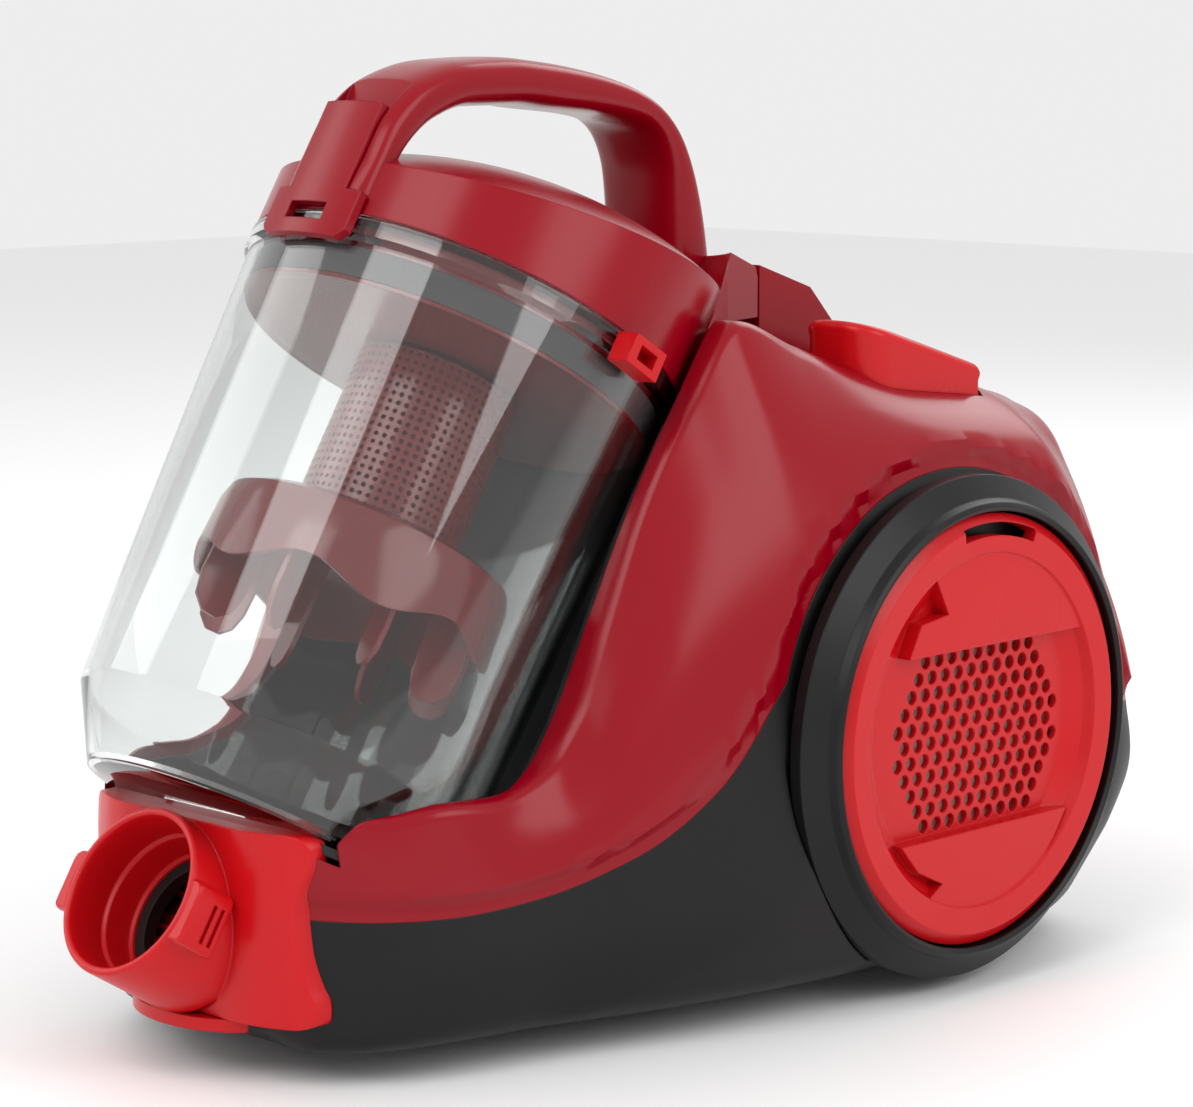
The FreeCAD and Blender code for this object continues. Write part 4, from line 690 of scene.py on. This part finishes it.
# ---------------------------------------------------------------- dust container
# A clear bucket moulded in one shot of polished SAN, with a stepped foot and a thicker
# flange round its mouth. The wall is 2.2 mm and slightly grey where light runs along it.
tank = on_tank(turned("clear_dust_bucket", [
    (0, 0), (53.5, 0), (55.2, 0.5), (56, 1.8), (67.9, 24.0), (68.4, 24.9), (68.6, 26.2),
    (70.2, 62), (72.6, 120), (74.9, 176.8), (76.2, 178.0), (76.6, 178.8), (76.6, 184.4),
    (76.1, 185), (73.3, 185), (72.8, 184.5), (70.4, 120), (68.0, 62), (66.4, 26.6),
    (65.9, 25.0), (54.2, 3.4), (52.6, 2.2), (0, 2.2)], 192, 24))
tank = carve(tank, [on_tank(prism("base_hole", [(-20, -20), (20, -20), (20, 4), (-20, 4)],
                                  -5, 20))], angle=24)
clear_san, tree = new_material("clear_polished_san")
finish_shader(tree, {"Base Color": linear("#F1F4F3"), "Roughness": 0.02, "IOR": 1.5,
                     "Transmission Weight": 1.0})
paint(tank, clear_san)
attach(tank, "container")
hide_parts("dust_tank")

# ---------------------------------------------------------------- carrying handle
# A hollow arched grip of the shell's red ABS, welded to the lid at its front and rear feet.
# The front leg is open to the front, so that the latch can move in it.
LID_MIDDLE = (-20.68, 257.53)
GRIP = (((-81, 20), (-66, 9)), ((-75, 28), (-60.5, 26)), ((-65, 43), (-55, 32)),
        ((-50, 54), (-44, 39.3)), ((-30, 59.2), (-27, 43.8)), ((-10, 60), (-6, 44)),
        ((9, 58.5), (12, 42.4)), ((38, 53.5), (37, 40)), ((57, 46.5), (52, 37)),
        ((71, 34.5), (60, 30.5)), ((80, 17.5), (63.5, 20)), ((85.6, -1), (64.3, 5)),
        ((89, -20), (64.5, -12)))
places = np.linspace(0, len(GRIP) - 1, 121)
knots = [(k, outer[0], outer[1], inner[0], inner[1])
         for k, (outer, inner) in enumerate(GRIP)]
rings = []
for oy, oz, iy, iz in smooth_curve(knots, places):
    middle = np.array([(oy + iy) / 2, (oz + iz) / 2])
    out = np.array([(oy - iy) / 2, (oz - iz) / 2])
    for k in range(48):
        turn = 2 * math.pi * k / 48
        across = math.copysign(abs(math.cos(turn)) ** 0.62, math.cos(turn)) * 19
        share = math.copysign(abs(math.sin(turn)) ** 0.62, math.sin(turn))
        y, z = middle + out * share
        rings.append((across, LID_MIDDLE[0] + y, LID_MIDDLE[1] + z))
handle = weld(add_piece("arched_handle", rings, tube_faces(len(places), 48)), 40)
groove = on_tank(prism("latch_groove", [(-13.8, -92), (13.8, -92), (13.8, -72), (-13.8, -72)],
                       181.6, 247.6))
handle = carve(handle, [groove], angle=40)
paint(handle, crimson_abs)
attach(handle, "lid")
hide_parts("handle")

# ---------------------------------------------------------------- finish of the CAD pieces
# Every other moulding, seal and metal part keeps its CAD form and gets its own finish. The
# mould leaves the outer ones with rounded edges, and EDGES holds their radii in millimetres.
EDGES = {"latch": 1.0, "side_keeper": 0.7, "spine_cover": 1.5,
         "exhaust_filter_cover": 0.5, "side_ring_right": 0.8, "side_ring_left": 0.8,
         "left_side_cover": 0.8}
for material, names in CAD_FINISH.items():
    for name in names.split():
        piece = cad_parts[name]
        soften(piece, 30)
        paint(piece, material)
        if name in EDGES:
            merge = piece.modifiers.new("flat_faces", "DECIMATE")
            merge.decimate_type, merge.angle_limit = "DISSOLVE", math.radians(1.5)
            edge = piece.modifiers.new("moulded_edges", "BEVEL")
            edge.width, edge.segments, edge.limit_method = EDGES[name] * MM, 3, "ANGLE"
            edge.angle_limit, edge.harden_normals = math.radians(30), True

# ---------------------------------------------------------------- studio
# A pale wide floor, four large soft lights, and the camera that looks at the inlet corner.
floor = add_piece("studio_floor", [(-3500, -3500, 0), (3500, -3500, 0), (3500, 3500, 0),
                                   (-3500, 3500, 0)], [(0, 1, 2, 3)])
studio_paper, tree = new_material("white_studio_paper")
finish_shader(tree, {"Base Color": linear("#F4F4F4"), "Roughness": 0.75})
paint(floor, studio_paper)
world = bpy.data.worlds.new("studio")
world.use_nodes = True
world.node_tree.nodes["Background"].inputs["Color"].default_value = linear("#FFFFFF")
world.node_tree.nodes["Background"].inputs["Strength"].default_value = 0.85
bpy.context.scene.world = world
LIGHTS = (("key", (300, -1500, 1500), 1.1, 13), ("right", (1500, 200, 1000), 1.0, 9),
          ("left", (-1300, -900, 900), 0.9, 5), ("rear", (-300, 1500, 1300), 1.0, 7))
for name, place, size, power in LIGHTS:
    lamp = bpy.data.lights.new(name, "AREA")
    lamp.size, lamp.energy = size, power
    holder = bpy.data.objects.new(name, lamp)
    holder.location = Vector(place) * MM
    aim = Vector((0, 0, 130)) - Vector(place)
    holder.rotation_euler = aim.to_track_quat("-Z", "Y").to_euler()
    bpy.context.scene.collection.objects.link(holder)

eye = bpy.data.cameras.new("camera")
eye.sensor_width, eye.lens = 36, 105.38
eye.shift_x, eye.shift_y = 0.0270, -0.0072
camera = bpy.data.objects.new("camera", eye)
stand = Vector((845.07, -835.79, 325.63))
camera.location = stand * MM
aim = Vector((0, 9.5, 150)) - stand
camera.rotation_euler = aim.to_track_quat("-Z", "Y").to_euler()
bpy.context.scene.collection.objects.link(camera)
bpy.context.scene.camera = camera
bpy.context.scene.view_settings.view_transform = "Standard"
